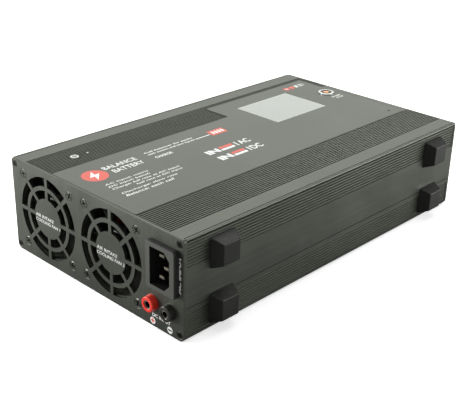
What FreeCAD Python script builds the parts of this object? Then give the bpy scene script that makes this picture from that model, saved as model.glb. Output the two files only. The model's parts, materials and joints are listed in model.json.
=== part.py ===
import FreeCAD, Part
import math
import os

# Twin-fan balance charger for hobby battery packs, in millimetres.
# It lies on its back, control panel up.  The origin is the centre of the underside.
# +X runs from the fan end to the output end, -Y is the long side with the rubber feet.

V = FreeCAD.Vector

# ---- driving dimensions -------------------------------------------------------------
CASE_LENGTH = 285.0
CASE_WIDTH = 169.2
CASE_HEIGHT = 68.0
PLATE = 2.0                 # thickness of the end plates
WALL = 2.2                  # side walls of the two extrusions
ROOF = 2.5                  # top wall and floor of the two extrusions
PARTING_Z = 22.9            # joint between the two extrusions
PARTING_GAP = 0.4
LOWER_CORNER_R = 4.0
UPPER_CORNER_R = 0.8
PLATE_TOP_CORNER_R = 2.0

RIB_PITCH = 2.02
RIB_DEPTH = 0.9
RIB_MOUTH = 1.45
RIB_ROOT = 0.5
STRIP_RIBS = 15             # grooves in each ribbed strip of the top and underside
STRIP_START_Y = 41.8        # first groove of a strip, from the centre line
SIDE_UPPER_RIBS = 8
SIDE_UPPER_START_Z = 50.3
SIDE_LOWER_RIBS = 8
SIDE_LOWER_START_Z = 4.6

PORT_Y = 81.0               # screw ports in the corners
PORT_LOW_Z = 4.2
PORT_HIGH_Z = 64.2
PORT_R = 3.0
PORT_BORE_R = 1.3
CORNER_SEAT = (1.6, 2.7, 1.2)           # hole radius, countersink radius, depth
CORNER_SCREW = (2.6, 1.25, 1.3, 12.0)   # head radius, shank radius, head depth, length

FAN_SIZE = 60.0
FAN_DEPTH = 25.0
FAN_HOLE_SPACING = 50.0
FAN_Z = 34.7
FAN_Y = (46.4, -18.7)
FAN_BORE_R = 29.0
FAN_BLADES = 7
FAN_FLANGE = 4.0
FAN_HUB_R = 13.4
FAN_TIP_R = 28.2
GRILLE_RINGS = ((14.1, 20.1), (22.9, 29.3))
GRILLE_SPOKES = 8
GRILLE_SPOKE_WIDTH = 2.7
FAN_SEAT = (2.1, 3.5, 1.5)
FAN_SCREW = (3.4, 1.9, 1.6, 9.0)

INLET_Y = -68.1             # mains inlet, standing on its short side
INLET_Z = 44.6
INLET_PROUD = 4.0
INLET_WELL_WIDTH = 17.0
INLET_WELL_HEIGHT = 25.0
INLET_WELL_DEPTH = 17.0
INLET_CHAMFER = 4.5
INLET_PIN_PITCH = 7.0
INLET_EARTH_OFFSET = 4.0    # the middle blade stands this far out of line
INLET_BODY_HALF = (10.2, 13.9)
INLET_FLANGE_HALF = (12.6, 15.6)
INLET_FLANGE_R = 2.0
BLADE_HALF_WIDTH = 2.0
BLADE_HALF_THICKNESS = 1.0

DC_RED = (-57.2, 16.6)      # y, z of the direct-current input sockets
DC_BLACK = (-72.6, 16.6)
OUT_RED = (-70.0, 19.0)     # y, z of the output sockets on the other end
OUT_BLACK = (-51.0, 19.0)
SOCKET_BORE_R = 2.05        # takes a 4 mm plug
SOCKET_TUBE_R = 3.0
SOCKET_HEAD_R = 5.3
SOCKET_DRAFT = 0.35         # the head is this much narrower at its front
SOCKET_NECK_R = 3.9
SOCKET_PROUD = 4.5
CONTACT_LENGTH = 24.0
CONTACT_BORE = 15.0         # depth of the bore that takes the plug

LABEL_THICKNESS = 0.3
LABEL_X = (-140.3, 135.0)
LABEL_Y = (-40.9, 41.5)
LABEL_WING_X = 22.5         # the label is deeper from here to its far end
LABEL_WING_Y = 65.5
LABEL_CORNER_R = 1.0

LCD_X = (41.0, 99.5)
LCD_Y = (7.0, 51.0)
LCD_GLASS_Z = (61.8, 64.3)
BUTTON_X = 125.5
BUTTON_Y = 28.5
BUTTON_BARREL_R = 5.8
BUTTON_BORE_R = 4.6
BEZEL_R = 6.7
BEZEL_HEIGHT = 0.8
BEZEL_FILLET = 0.5
CAP_R = 4.5                 # moving cap of the button
CAP_TOP_Z = 68.6
LENS_R = 2.9
LENS_SEAT_Z = 67.1
LENS_TOP_Z = 69.0
BARREL_Z = 61.0             # lower end of the button's barrel
SWITCH_TOP = 60.5
BUZZER_X = 127.5
BUZZER_Y = -33.0
SOUND_HOLE_R = 1.0
CONTROL_X = (34.0, 137.5)   # control board, hung from the roof
CONTROL_Y = (-1.0, 58.0)
CONTROL_Z = 54.0

FOOT_X = 111.5
FOOT_Z = (15.4, 52.6)
FOOT_BASE = 20.5
FOOT_TIP = 14.0
FOOT_HEIGHT = 8.0

BOARD_Z = 8.5               # underside of the two main boards
BOARD_THICKNESS = 1.6
POWER_BOARD_X = (-110.0, 70.0)
POWER_BOARD_Y = (3.0, 79.0)
CHARGER_BOARD_X = (-110.0, 124.0)
CHARGER_BOARD_Y = (-79.0, -1.0)
SHEET = 0.4                 # insulation sheet under the boards
CLAMP_X = -111.5            # screw between the roof and the mains heat sink
CLAMP_Y = 56.0
CLAMP_HEAD = 1.3            # depth of its head below the roof
CLAMP_HEAD_R = 3.0
CLAMP_SHANK_R = 1.5
CLAMP_PIN_X = CLAMP_X + 11.0
CLAMP_PIN_R = 0.75
TRANSFORMER_X = 14.0
TRANSFORMER_Y = 25.0
POWER_SINK_WEB_Y = (53.0, 59.0)
CHARGER_SINK_X = (-88.0, 62.0)
CHARGER_SINK_Y = -50.0      # near edge of the charger board's heat sink
CHARGER_SINK_WIDTH = 28.0
BULK_CAPACITORS = ((-50.0, 13.5), (-50.0, 36.2), (-25.0, 26.5))

HEADER_PINS = (7, 6, 5, 4, 3)
HEADER_PITCH = 2.5
HEADER_ROW_PITCH = 8.2
HEADER_Y = -14.0
HEADER_Z = 11.5
HEADER_HEIGHT = 5.8
HEADER_WELL = 7.5
HEADER_PIN_HALF = 0.32
BALANCE_BOARD_X = 129.0
USB_Y = (-66.0, -57.8)
USB_Z = (42.0, 46.4)
SENSOR_Y = (-66.4, -57.4)
SENSOR_Z = (51.0, 57.4)
SENSOR_PIN_PITCH = 2.2
MAINS_LEAD_R = 1.1
DC_LEAD_R = 1.5
VENT_SLOTS = 10
VENT_START_Y = 15.0
VENT_PITCH = 6.4
VENT_WIDTH = 3.2
VENT_Z = (14.0, 54.0)

# ---- worked-out places --------------------------------------------------------------
HALF_L = CASE_LENGTH / 2
HALF_W = CASE_WIDTH / 2
HALF_SHELL = HALF_L - PLATE
FLOOR_Z = ROOF
CEILING_Z = CASE_HEIGHT - ROOF
INNER_Y = HALF_W - WALL
UPPER_Z = PARTING_Z + PARTING_GAP / 2
LOWER_Z = PARTING_Z - PARTING_GAP / 2
BOARD_TOP = BOARD_Z + BOARD_THICKNESS
FAN_HOLE = FAN_HOLE_SPACING / 2
LABEL_TOP = CASE_HEIGHT + LABEL_THICKNESS
BARREL_HOLE_R = BUTTON_BARREL_R + 0.15
CORNERS = [(y, z) for y in (-PORT_Y, PORT_Y) for z in (PORT_LOW_Z, PORT_HIGH_Z)]
FAN_FRONT = -HALF_SHELL
FAN_BACK = FAN_FRONT + FAN_DEPTH
FAN_ROTOR_FRONT = FAN_FRONT + 3.0
FAN_ROTOR_BACK = FAN_BACK - 4.0
FAN_HOLES = [(y + a * FAN_HOLE, FAN_Z + b * FAN_HOLE) for y in FAN_Y for a in (-1, 1) for b in (-1, 1)]

INLET_FRONT = -HALF_L - INLET_PROUD
INLET_PIN_Y = INLET_Y + 0.4 * INLET_EARTH_OFFSET
INLET_PINS = [(INLET_PIN_Y, INLET_Z + INLET_PIN_PITCH), (INLET_PIN_Y, INLET_Z - INLET_PIN_PITCH),
              (INLET_PIN_Y - INLET_EARTH_OFFSET, INLET_Z)]
INLET_PIN_TIP = INLET_FRONT + 3.0
INLET_PIN_LENGTH = 34.0
HEADER_FRONT = HALF_L + 0.6
CONTROL_POSTS = [(x, y) for x in (110.0, 133.8) for y in (3.0, 52.0)] + [(36.6, 2.0), (36.6, 55.2)]
POWER_POSTS = [(x, y) for x in (-106.0, 66.0) for y in (7.0, 75.0)]
CHARGER_POSTS = [(x, y) for x in (-106.0, 7.0, 120.0) for y in (-75.0, -5.0)]


# ---- small helpers ------------------------------------------------------------------
def block(x, y, z):
    """A box between two limits on each axis."""
    return Part.makeBox(x[1] - x[0], y[1] - y[0], z[1] - z[0], V(x[0], y[0], z[0]))


def block_at(x, y, z, length, width, height):
    """A box centred at x, y that stands on z."""
    return block((x - length / 2, x + length / 2), (y - width / 2, y + width / 2), (z, z + height))


def rod_x(x0, x1, y, z, radius):
    return Part.makeCylinder(radius, x1 - x0, V(x0, y, z), V(1, 0, 0))


def rod_z(z0, z1, x, y, radius):
    return Part.makeCylinder(radius, z1 - z0, V(x, y, z0), V(0, 0, 1))


def tube_x(x0, x1, y, z, outer, inner):
    return rod_x(x0, x1, y, z, outer).cut(rod_x(x0 - 1, x1 + 1, y, z, inner))


def tube_z(z0, z1, x, y, outer, inner):
    return rod_z(z0, z1, x, y, outer).cut(rod_z(z0 - 1, z1 + 1, x, y, inner))


def cone_x(x0, x1, y, z, r0, r1):
    return Part.makeCone(r0, r1, x1 - x0, V(x0, y, z), V(1, 0, 0))


def prism_x(outline, x0, x1):
    """An outline of (y, z) points, drawn along X."""
    points = [V(x0, y, z) for y, z in outline]
    face = Part.Face(Part.makePolygon(points + points[:1]))
    return face.extrude(V(x1 - x0, 0, 0))


def hexagon(across_flats):
    """The six corners of a hexagon round the origin."""
    radius = across_flats / math.sqrt(3)
    angles = [math.radians(60 * i) for i in range(6)]
    return [(radius * math.cos(a), radius * math.sin(a)) for a in angles]


def hex_x(x0, x1, y, z, across_flats):
    return prism_x([(y + dy, z + dz) for dy, dz in hexagon(across_flats)], x0, x1)


def hex_z(z0, z1, x, y, across_flats):
    points = [V(x + dx, y + dy, z0) for dx, dy in hexagon(across_flats)]
    return Part.Face(Part.makePolygon(points + points[:1])).extrude(V(0, 0, z1 - z0))


def inset(limits, by):
    """Two limits moved towards each other, or apart where by is negative."""
    return (limits[0] + by, limits[1] - by)


def about(middle, half):
    """Two limits at equal distances from a middle."""
    return (middle - half, middle + half)


def edges_at(solid, z):
    """The edges that lie wholly at or above a height."""
    return [e for e in solid.Edges if e.BoundBox.ZMin > z - 0.01]


def edges_along(shape, axis, wanted=None):
    """The straight edges of a shape that run along one axis, those wanted(middle) if it is given."""
    found = []
    for edge in shape.Edges:
        if edge.Curve.TypeId != "Part::GeomLine":
            continue
        start, end = edge.Vertexes[0].Point, edge.Vertexes[-1].Point
        run = end.sub(start).normalize()
        middle = start.add(end).multiply(0.5)
        if abs(run.dot(axis)) > 0.999 and (wanted is None or wanted(middle)):
            found.append(edge)
    return found


def join(first, *others):
    return first.multiFuse(list(others)).removeSplitter()


def group(solids):
    return Part.makeCompound(list(solids))


def export(name, shape):
    """One STEP file for each piece; the compound of a Boolean that holds one solid is unwrapped."""
    if shape.ShapeType == "Compound" and len(shape.Solids) == 1:
        shape = shape.Solids[0]
    if not shape.isValid():
        raise RuntimeError(name + " is not a valid shape")
    shape.exportStep("parts/" + name + ".step")
    print(f"{name:24s} solids {len(shape.Solids):3d}  volume {shape.Volume:10.1f}")


# ---- extruded case ------------------------------------------------------------------
def groove(outward_y, outward_z, y, z, mouth, root, depth):
    """A tapered groove along X, cut into the surface at (y, z) whose outward direction is given."""
    along_y, along_z = abs(outward_z), abs(outward_y)
    lift = 0.05
    outline = []
    for half, level in ((-mouth / 2, lift), (mouth / 2, lift), (root / 2, -depth), (-root / 2, -depth)):
        outline.append((y + half * along_y + level * outward_y, z + half * along_z + level * outward_z))
    return prism_x(outline, -HALF_SHELL - 1, HALF_SHELL + 1)


def strip_grooves(z, outward_z):
    """The two ribbed strips of the top, or of the underside."""
    offsets = [STRIP_START_Y + i * RIB_PITCH for i in range(STRIP_RIBS)]
    return [groove(0, outward_z, side * y, z, RIB_MOUTH, RIB_ROOT, RIB_DEPTH)
            for side in (-1, 1) for y in offsets]


def side_grooves(start_z, count):
    heights = [start_z + i * RIB_PITCH for i in range(count)]
    return [groove(side, 0, side * HALF_W, z, RIB_MOUTH, RIB_ROOT, RIB_DEPTH)
            for side in (-1, 1) for z in heights]


def edge_bead_grooves():
    """The two narrow grooves that leave a bead along each top corner."""
    cuts = []
    for side in (-1, 1):
        cuts.append(groove(0, 1, side * (HALF_W - 2.1), CASE_HEIGHT, 0.8, 0.4, 0.6))
        cuts.append(groove(side, 0, side * HALF_W, CASE_HEIGHT - 1.5, 1.3, 0.8, 1.2))
    return cuts


def upper_shell():
    outside = block((-HALF_SHELL, HALF_SHELL), (-HALF_W, HALF_W), (UPPER_Z, CASE_HEIGHT))
    corners = edges_along(outside, V(1, 0, 0), lambda p: p.z > CASE_HEIGHT - 1)
    outside = outside.makeFillet(UPPER_CORNER_R, corners)
    inside = block((-HALF_L, HALF_L), (-INNER_Y, INNER_Y), (0, CEILING_Z))
    shell = outside.cut(inside)
    ports = [rod_x(-HALF_SHELL, HALF_SHELL, y, PORT_HIGH_Z, PORT_R) for y in (-PORT_Y, PORT_Y)]
    shell = join(shell, *ports)
    bores = [rod_x(-HALF_L, HALF_L, y, PORT_HIGH_Z, PORT_BORE_R) for y in (-PORT_Y, PORT_Y)]
    cuts = bores + strip_grooves(CASE_HEIGHT, 1) + side_grooves(SIDE_UPPER_START_Z, SIDE_UPPER_RIBS)
    cuts += edge_bead_grooves()
    cuts.append(block(LCD_X, LCD_Y, (CEILING_Z - 1, CASE_HEIGHT + 1)))
    above, below = CASE_HEIGHT + 1, CEILING_Z - 1
    cuts.append(rod_z(below, above, BUTTON_X, BUTTON_Y, BARREL_HOLE_R))
    cuts.append(rod_z(below, above, BUZZER_X, BUZZER_Y, SOUND_HOLE_R))
    cuts.append(rod_z(below, above, CLAMP_X, CLAMP_Y, CLAMP_SHANK_R + 0.2))
    cuts.append(rod_z(CASE_HEIGHT - CLAMP_HEAD - 0.1, above, CLAMP_X, CLAMP_Y, CLAMP_HEAD_R + 0.1))
    cuts.append(rod_z(below, above, CLAMP_PIN_X, CLAMP_Y, CLAMP_PIN_R + 0.05))
    return shell.cut(group(cuts))


def lower_shell():
    outside = block((-HALF_SHELL, HALF_SHELL), (-HALF_W, HALF_W), (0, LOWER_Z))
    corners = edges_along(outside, V(1, 0, 0), lambda p: p.z < 1)
    outside = outside.makeFillet(LOWER_CORNER_R, corners)
    inside = block((-HALF_L, HALF_L), (-INNER_Y, INNER_Y), (FLOOR_Z, CASE_HEIGHT))
    shell = outside.cut(inside)
    extras = [rod_x(-HALF_SHELL, HALF_SHELL, y, PORT_LOW_Z, PORT_R) for y in (-PORT_Y, PORT_Y)]
    for side in (-1, 1):
        lip_foot = sorted((side * (INNER_Y - 1.2), side * INNER_Y))
        lip_blade = sorted((side * (INNER_Y - 1.2), side * (INNER_Y - 0.2)))
        extras.append(block((-HALF_SHELL, HALF_SHELL), lip_foot, (LOWER_Z - 6.0, LOWER_Z)))
        extras.append(block((-HALF_SHELL, HALF_SHELL), lip_blade, (LOWER_Z - 6.0, LOWER_Z + 4.0)))
    shell = join(shell, *extras)
    bores = [rod_x(-HALF_L, HALF_L, y, PORT_LOW_Z, PORT_BORE_R) for y in (-PORT_Y, PORT_Y)]
    cuts = bores + strip_grooves(0, -1) + side_grooves(SIDE_LOWER_START_Z, SIDE_LOWER_RIBS)
    return shell.cut(group(cuts))


def plate_blank(x0):
    """An end plate with its rounded corners and a fine chamfer on its outer edge."""
    plate = block((x0, x0 + PLATE), (-HALF_W, HALF_W), (0, CASE_HEIGHT))
    plate = plate.makeFillet(LOWER_CORNER_R, edges_along(plate, V(1, 0, 0), lambda p: p.z < 1))
    high = edges_along(plate, V(1, 0, 0), lambda p: p.z > CASE_HEIGHT - 1)
    plate = plate.makeFillet(PLATE_TOP_CORNER_R, high)
    outer_x = x0 if x0 < 0 else x0 + PLATE
    rim = [e for e in plate.Edges if abs(e.BoundBox.XMin - outer_x) < 0.01 and e.BoundBox.XLength < 0.01]
    return plate.makeChamfer(0.35, rim)


def screw_seats(outer_x, inward, places, hole_r, head_r, head_depth):
    """Through holes with their countersinks, in a plate whose outer face is at outer_x."""
    cuts = []
    for y, z in places:
        cuts.append(rod_x(outer_x - 4, outer_x + 4, y, z, hole_r))
        ends = sorted((outer_x, outer_x + inward * head_depth))
        radii = (head_r, hole_r) if inward > 0 else (hole_r, head_r)
        cuts.append(cone_x(ends[0], ends[1], y, z, *radii))
    return cuts


def sector(y, z, inner, outer, middle_deg, x0, x1):
    """One slot of a fan grille: a ring sector less half a spoke on each side."""
    ring = tube_x(x0, x1, y, z, outer, inner)
    half = GRILLE_SPOKE_WIDTH / 2
    reach = outer * 1.5
    step = 180.0 / GRILLE_SPOKES
    apex = half / math.sin(math.radians(step))
    mid = math.radians(middle_deg)
    low, high = mid - math.radians(step), mid + math.radians(step)
    ay, az = y + apex * math.cos(mid), z + apex * math.sin(mid)
    wedge = prism_x([(ay, az), (ay + reach * math.cos(low), az + reach * math.sin(low)),
                     (ay + reach * math.cos(high), az + reach * math.sin(high))], x0, x1)
    return ring.common(wedge)


def fan_end_plate():
    x0 = -HALF_L
    plate = plate_blank(x0)
    cuts = []
    for y in FAN_Y:
        for inner, outer in GRILLE_RINGS:
            for i in range(GRILLE_SPOKES):
                middle = (i + 0.5) * 360.0 / GRILLE_SPOKES
                cuts.append(sector(y, FAN_Z, inner, outer, middle, x0 - 1, x0 + PLATE + 1))
    cuts += screw_seats(x0, 1, FAN_HOLES, *FAN_SEAT)
    cuts += screw_seats(x0, 1, CORNERS, *CORNER_SEAT)
    cuts.append(inlet_body_block(x0 - 1, x0 + PLATE + 1, 0.2))
    for y, z in (DC_RED, DC_BLACK):
        cuts.append(rod_x(x0 - 1, x0 + PLATE + 1, y, z, SOCKET_NECK_R + 0.1))
    return plate.cut(group(cuts))


def output_end_plate():
    x0 = HALF_SHELL
    plate = plate_blank(x0)
    outer = x0 + PLATE
    cuts = screw_seats(outer, -1, CORNERS, *CORNER_SEAT)
    for y, z in (OUT_RED, OUT_BLACK):
        cuts.append(rod_x(x0 - 1, outer + 1, y, z, SOCKET_NECK_R + 0.1))
    for row, pins in enumerate(HEADER_PINS):
        cuts.append(header_block(row, pins, x0 - 1, outer + 1, 0.2))
    cuts.append(block((x0 - 1, outer + 1), USB_Y, USB_Z))
    cuts.append(block((x0 - 1, outer + 1), SENSOR_Y, SENSOR_Z))
    for i in range(VENT_SLOTS):
        y = VENT_START_Y + i * VENT_PITCH
        slot = block((x0 - 1, outer + 1), (y - VENT_WIDTH / 2, y + VENT_WIDTH / 2), VENT_Z)
        cuts.append(slot.makeFillet(VENT_WIDTH / 2 - 0.01, edges_along(slot, V(1, 0, 0))))
    return plate.cut(group(cuts))


def countersunk_screw(outer_x, inward, y, z, head_r, shank_r, head_depth, length):
    """A countersunk screw with a cross recess, its head flush with outer_x."""
    face = outer_x + inward * 0.1
    neck = outer_x + inward * head_depth
    tip = outer_x + inward * length
    ends = sorted((face, neck))
    radii = (head_r, shank_r) if inward > 0 else (shank_r, head_r)
    head = cone_x(ends[0], ends[1], y, z, *radii)
    shank = rod_x(min(neck, tip), max(neck, tip), y, z, shank_r)
    screw = join(head, shank)
    depth = sorted((face - inward * 0.1, outer_x + inward * (head_depth + 0.3)))
    arm, half_slot = head_r * 0.62, 0.35
    cross = [block(depth, about(y, arm), about(z, half_slot)),
             block(depth, about(y, half_slot), about(z, arm))]
    return screw.cut(group(cross))


def end_plate_screws():
    screws = []
    for y, z in CORNERS:
        screws.append(countersunk_screw(-HALF_L, 1, y, z, *CORNER_SCREW))
        screws.append(countersunk_screw(HALF_L, -1, y, z, *CORNER_SCREW))
    return group(screws)


def fan_screws():
    return group(countersunk_screw(-HALF_L, 1, y, z, *FAN_SCREW) for y, z in FAN_HOLES)


def rubber_feet():
    """Four stick-on bumpers, tapered and softly rounded."""
    feet = []
    for x in (-FOOT_X, FOOT_X):
        for z in FOOT_Z:
            wires = []
            for half, y in ((FOOT_BASE / 2, -HALF_W), (FOOT_TIP / 2, -HALF_W - FOOT_HEIGHT)):
                ring = [V(x - half, y, z - half), V(x + half, y, z - half),
                        V(x + half, y, z + half), V(x - half, y, z + half)]
                wires.append(Part.makePolygon(ring + ring[:1]))
            foot = Part.makeLoft(wires, True, True)
            soft = [e for e in foot.Edges if e.BoundBox.YMin < -HALF_W - 0.1]
            feet.append(foot.makeFillet(0.8, soft))
    return group(feet)


# ---- control panel ------------------------------------------------------------------
def panel_label():
    """The printed overlay: an L-shaped sheet with windows for the display and the button."""
    x0, x1 = LABEL_X
    y0, y1 = LABEL_Y
    outline = [(x0, y0), (x1, y0), (x1, LABEL_WING_Y),
               (LABEL_WING_X, LABEL_WING_Y), (LABEL_WING_X, y1), (x0, y1)]
    points = [V(x, y, CASE_HEIGHT) for x, y in outline]
    sheet = Part.Face(Part.makePolygon(points + points[:1])).extrude(V(0, 0, LABEL_THICKNESS))
    sheet = sheet.makeFillet(LABEL_CORNER_R, edges_along(sheet, V(0, 0, 1)))
    cuts = [block(LCD_X, LCD_Y, (CASE_HEIGHT - 1, LABEL_TOP + 1)),
            rod_z(CASE_HEIGHT - 1, LABEL_TOP + 1, BUTTON_X, BUTTON_Y, BARREL_HOLE_R),
            rod_z(CASE_HEIGHT - 1, LABEL_TOP + 1, BUZZER_X, BUZZER_Y, SOUND_HOLE_R)]
    return sheet.cut(group(cuts))


def lcd_window():
    """A clear window, flush with the label and stepped to bear on the underside of the roof."""
    pane = block(inset(LCD_X, 0.2), inset(LCD_Y, 0.2), (CEILING_Z, LABEL_TOP))
    pane = pane.makeChamfer(0.25, edges_at(pane, LABEL_TOP))
    ledge = block(inset(LCD_X, -2.0), inset(LCD_Y, -2.0), (CEILING_Z - 0.8, CEILING_Z))
    return join(pane, ledge)


def lcd_glass():
    return block(inset(LCD_X, -0.5), inset(LCD_Y, -0.5), LCD_GLASS_Z)


def lcd_frame():
    """A folded metal frame round the display glass."""
    glass_bottom, glass_top = LCD_GLASS_Z
    rim_top = glass_top + 0.3
    outer = block(inset(LCD_X, -2.5), inset(LCD_Y, -2.5), (glass_bottom - 4.5, rim_top))
    hollow = block(inset(LCD_X, -1.5), inset(LCD_Y, -1.5), (glass_bottom - 5.0, rim_top - 0.2))
    window = block(inset(LCD_X, 1.0), inset(LCD_Y, 1.0), (glass_bottom, rim_top + 1))
    tray = block(inset(LCD_X, -1.5), inset(LCD_Y, -1.5), (glass_bottom - 1.2, glass_bottom - 0.2))
    return join(outer.cut(hollow).cut(window), tray)


def control_board():
    board = block(CONTROL_X, CONTROL_Y, (CONTROL_Z, CONTROL_Z + BOARD_THICKNESS))
    return board.cut(group(rod_z(CONTROL_Z - 1, CONTROL_Z + 3, x, y, 1.6) for x, y in CONTROL_POSTS))


def control_board_posts():
    """Turned posts that hang the control board from the roof, each with its screw."""
    posts = []
    for x, y in CONTROL_POSTS:
        post = hex_z(CONTROL_Z + BOARD_THICKNESS, CEILING_Z, x, y, 5.0)
        shank = rod_z(CONTROL_Z - 0.1, CONTROL_Z + 6, x, y, 1.45)
        head = rod_z(CONTROL_Z - 1.9, CONTROL_Z, x, y, 2.6)
        posts += [post.cut(rod_z(CONTROL_Z, CONTROL_Z + 8, x, y, 1.5)), join(shank, head)]
    return group(posts)


def button_bezel():
    """A turned ring on a threaded barrel that goes down through the roof."""
    top_z = LABEL_TOP + BEZEL_HEIGHT
    ring = rod_z(LABEL_TOP, top_z, BUTTON_X, BUTTON_Y, BEZEL_R)
    ring = ring.makeFillet(BEZEL_FILLET, edges_at(ring, top_z))
    barrel = rod_z(BARREL_Z, LABEL_TOP, BUTTON_X, BUTTON_Y, BUTTON_BARREL_R)
    bore = rod_z(BARREL_Z - 1, LABEL_TOP + 2, BUTTON_X, BUTTON_Y, BUTTON_BORE_R)
    return join(ring, barrel).cut(bore)


def button_nut():
    nut = hex_z(CEILING_Z - 3.0, CEILING_Z - 0.2, BUTTON_X, BUTTON_Y, 15.0)
    return nut.cut(rod_z(CEILING_Z - 4, CEILING_Z, BUTTON_X, BUTTON_Y, BUTTON_BARREL_R + 0.1))


def push_button():
    """The moving cap: a cup with a stem that bears on the switch below."""
    cap = rod_z(LABEL_TOP - 4.5, CAP_TOP_Z, BUTTON_X, BUTTON_Y, CAP_R)
    cap = cap.makeFillet(0.4, edges_at(cap, CAP_TOP_Z))
    return cap.cut(rod_z(LENS_SEAT_Z, LABEL_TOP + 1, BUTTON_X, BUTTON_Y, LENS_R + 0.1))


def button_lens():
    lens = rod_z(LENS_SEAT_Z, LENS_TOP_Z, BUTTON_X, BUTTON_Y, LENS_R)
    return lens.makeFillet(0.5, edges_at(lens, LENS_TOP_Z))


def switch_plunger():
    return rod_z(SWITCH_TOP - 1.6, LABEL_TOP - 4.5, BUTTON_X, BUTTON_Y, 2.0)


def switch_body():
    """A sealed push switch on the control board, open on top for its plunger."""
    body = block_at(BUTTON_X, BUTTON_Y, CONTROL_Z + BOARD_THICKNESS, 12.0, 12.0,
                    SWITCH_TOP - CONTROL_Z - BOARD_THICKNESS)
    body = body.makeChamfer(1.0, edges_along(body, V(0, 0, 1)))
    return body.cut(rod_z(SWITCH_TOP - 2.8, SWITCH_TOP + 1, BUTTON_X, BUTTON_Y, 2.1))


def buzzer():
    can = rod_z(CEILING_Z - 9.0, CEILING_Z, BUZZER_X, BUZZER_Y, 6.0)
    return can.cut(rod_z(CEILING_Z - 2.0, CEILING_Z + 1, BUZZER_X, BUZZER_Y, SOUND_HOLE_R))


def top_fasteners():
    """The flat screw that clamps the heat sink to the roof, and the locating pin beside it."""
    seat_z = CASE_HEIGHT - CLAMP_HEAD
    head = rod_z(seat_z, CASE_HEIGHT + 0.2, CLAMP_X, CLAMP_Y, CLAMP_HEAD_R)
    shank = rod_z(CEILING_Z - 8.0, seat_z, CLAMP_X, CLAMP_Y, CLAMP_SHANK_R)
    slot = block_at(CLAMP_X, CLAMP_Y, CASE_HEIGHT - 0.6, 4.4, 0.8, 1.0)
    cross = block_at(CLAMP_X, CLAMP_Y, CASE_HEIGHT - 0.6, 0.8, 4.4, 1.0)
    screw = join(head, shank).cut(group([slot, cross]))
    pin = rod_z(CEILING_Z - 3.0, CASE_HEIGHT + 0.1, CLAMP_PIN_X, CLAMP_Y, CLAMP_PIN_R)
    return group([screw, pin])


# ---- fans ---------------------------------------------------------------------------
def fan_frame(y):
    half = FAN_SIZE / 2
    outer = block((FAN_FRONT, FAN_BACK), (y - half, y + half), (FAN_Z - half, FAN_Z + half))
    outer = outer.makeFillet(4.0, edges_along(outer, V(1, 0, 0)))
    waist_x = (FAN_FRONT + FAN_FLANGE, FAN_BACK - FAN_FLANGE)
    waist = block(waist_x, (y - 40, y + 40), (FAN_Z - 40, FAN_Z + 40))
    waist = waist.cut(rod_x(waist_x[0] - 1, waist_x[1] + 1, y, FAN_Z, FAN_BORE_R + 1.4))
    frame = outer.cut(waist).cut(rod_x(FAN_FRONT - 1, FAN_BACK + 1, y, FAN_Z, FAN_BORE_R))
    hub = rod_x(FAN_BACK - 3.0, FAN_BACK, y, FAN_Z, FAN_HUB_R)
    struts = [block((FAN_BACK - 3.0, FAN_BACK), (y - 2, y + 2), (FAN_Z + 12, FAN_Z + FAN_BORE_R + 0.6))]
    for turn in (90, 180, 270):
        strut = struts[0].copy()
        strut.rotate(V(FAN_BACK, y, FAN_Z), V(1, 0, 0), turn)
        struts.append(strut)
    bearing_tube = rod_x(FAN_ROTOR_FRONT + 4.0, FAN_BACK - 2.0, y, FAN_Z, 4.0)
    frame = join(frame, hub, bearing_tube, *struts)
    holes = [rod_x(FAN_FRONT - 1, FAN_BACK + 1, y + a * FAN_HOLE, FAN_Z + b * FAN_HOLE, 2.0)
             for a in (-1, 1) for b in (-1, 1)]
    bearing_seat = rod_x(FAN_ROTOR_FRONT + 3.0, FAN_BACK - 1.0, y, FAN_Z, 3.0)
    return frame.cut(group(holes + [bearing_seat]))


def fan_bearing(y):
    return tube_x(FAN_ROTOR_FRONT + 4.2, FAN_BACK - 1.2, y, FAN_Z, 2.95, 1.55)


def fan_stator(y):
    """The wound core: a ring with four poles, on the bearing tube."""
    x0, x1 = FAN_ROTOR_FRONT + 5.0, FAN_BACK - 4.6
    core = tube_x(x0, x1, y, FAN_Z, 11.4, 4.1)
    gaps = [block((x0 - 1, x1 + 1), (y + 6.5, y + 12.5), (FAN_Z - 1.5, FAN_Z + 1.5))]
    for turn in (90, 180, 270):
        gap = gaps[0].copy()
        gap.rotate(V(x0, y, FAN_Z), V(1, 0, 0), turn)
        gaps.append(gap)
    return core.cut(group(gaps))


def blade_section(radius, chord, pitch_deg, camber, thickness):
    """One closed section of a blade, square to the blade's length, which lies along +Z."""
    pitch = math.radians(pitch_deg)
    upper, lower = [], []
    for t in (-0.5, -0.2, 0.2, 0.5):
        along = t * chord
        rise = camber * (1 - 4 * t * t)
        for side, points in ((thickness / 2, upper), (-thickness / 2, lower)):
            out = rise + side
            x = along * math.sin(pitch) + out * math.cos(pitch)
            y = along * math.cos(pitch) - out * math.sin(pitch)
            points.append(V(x, y, radius))
    ring = upper + lower[::-1]
    return Part.makePolygon(ring + ring[:1])


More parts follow.
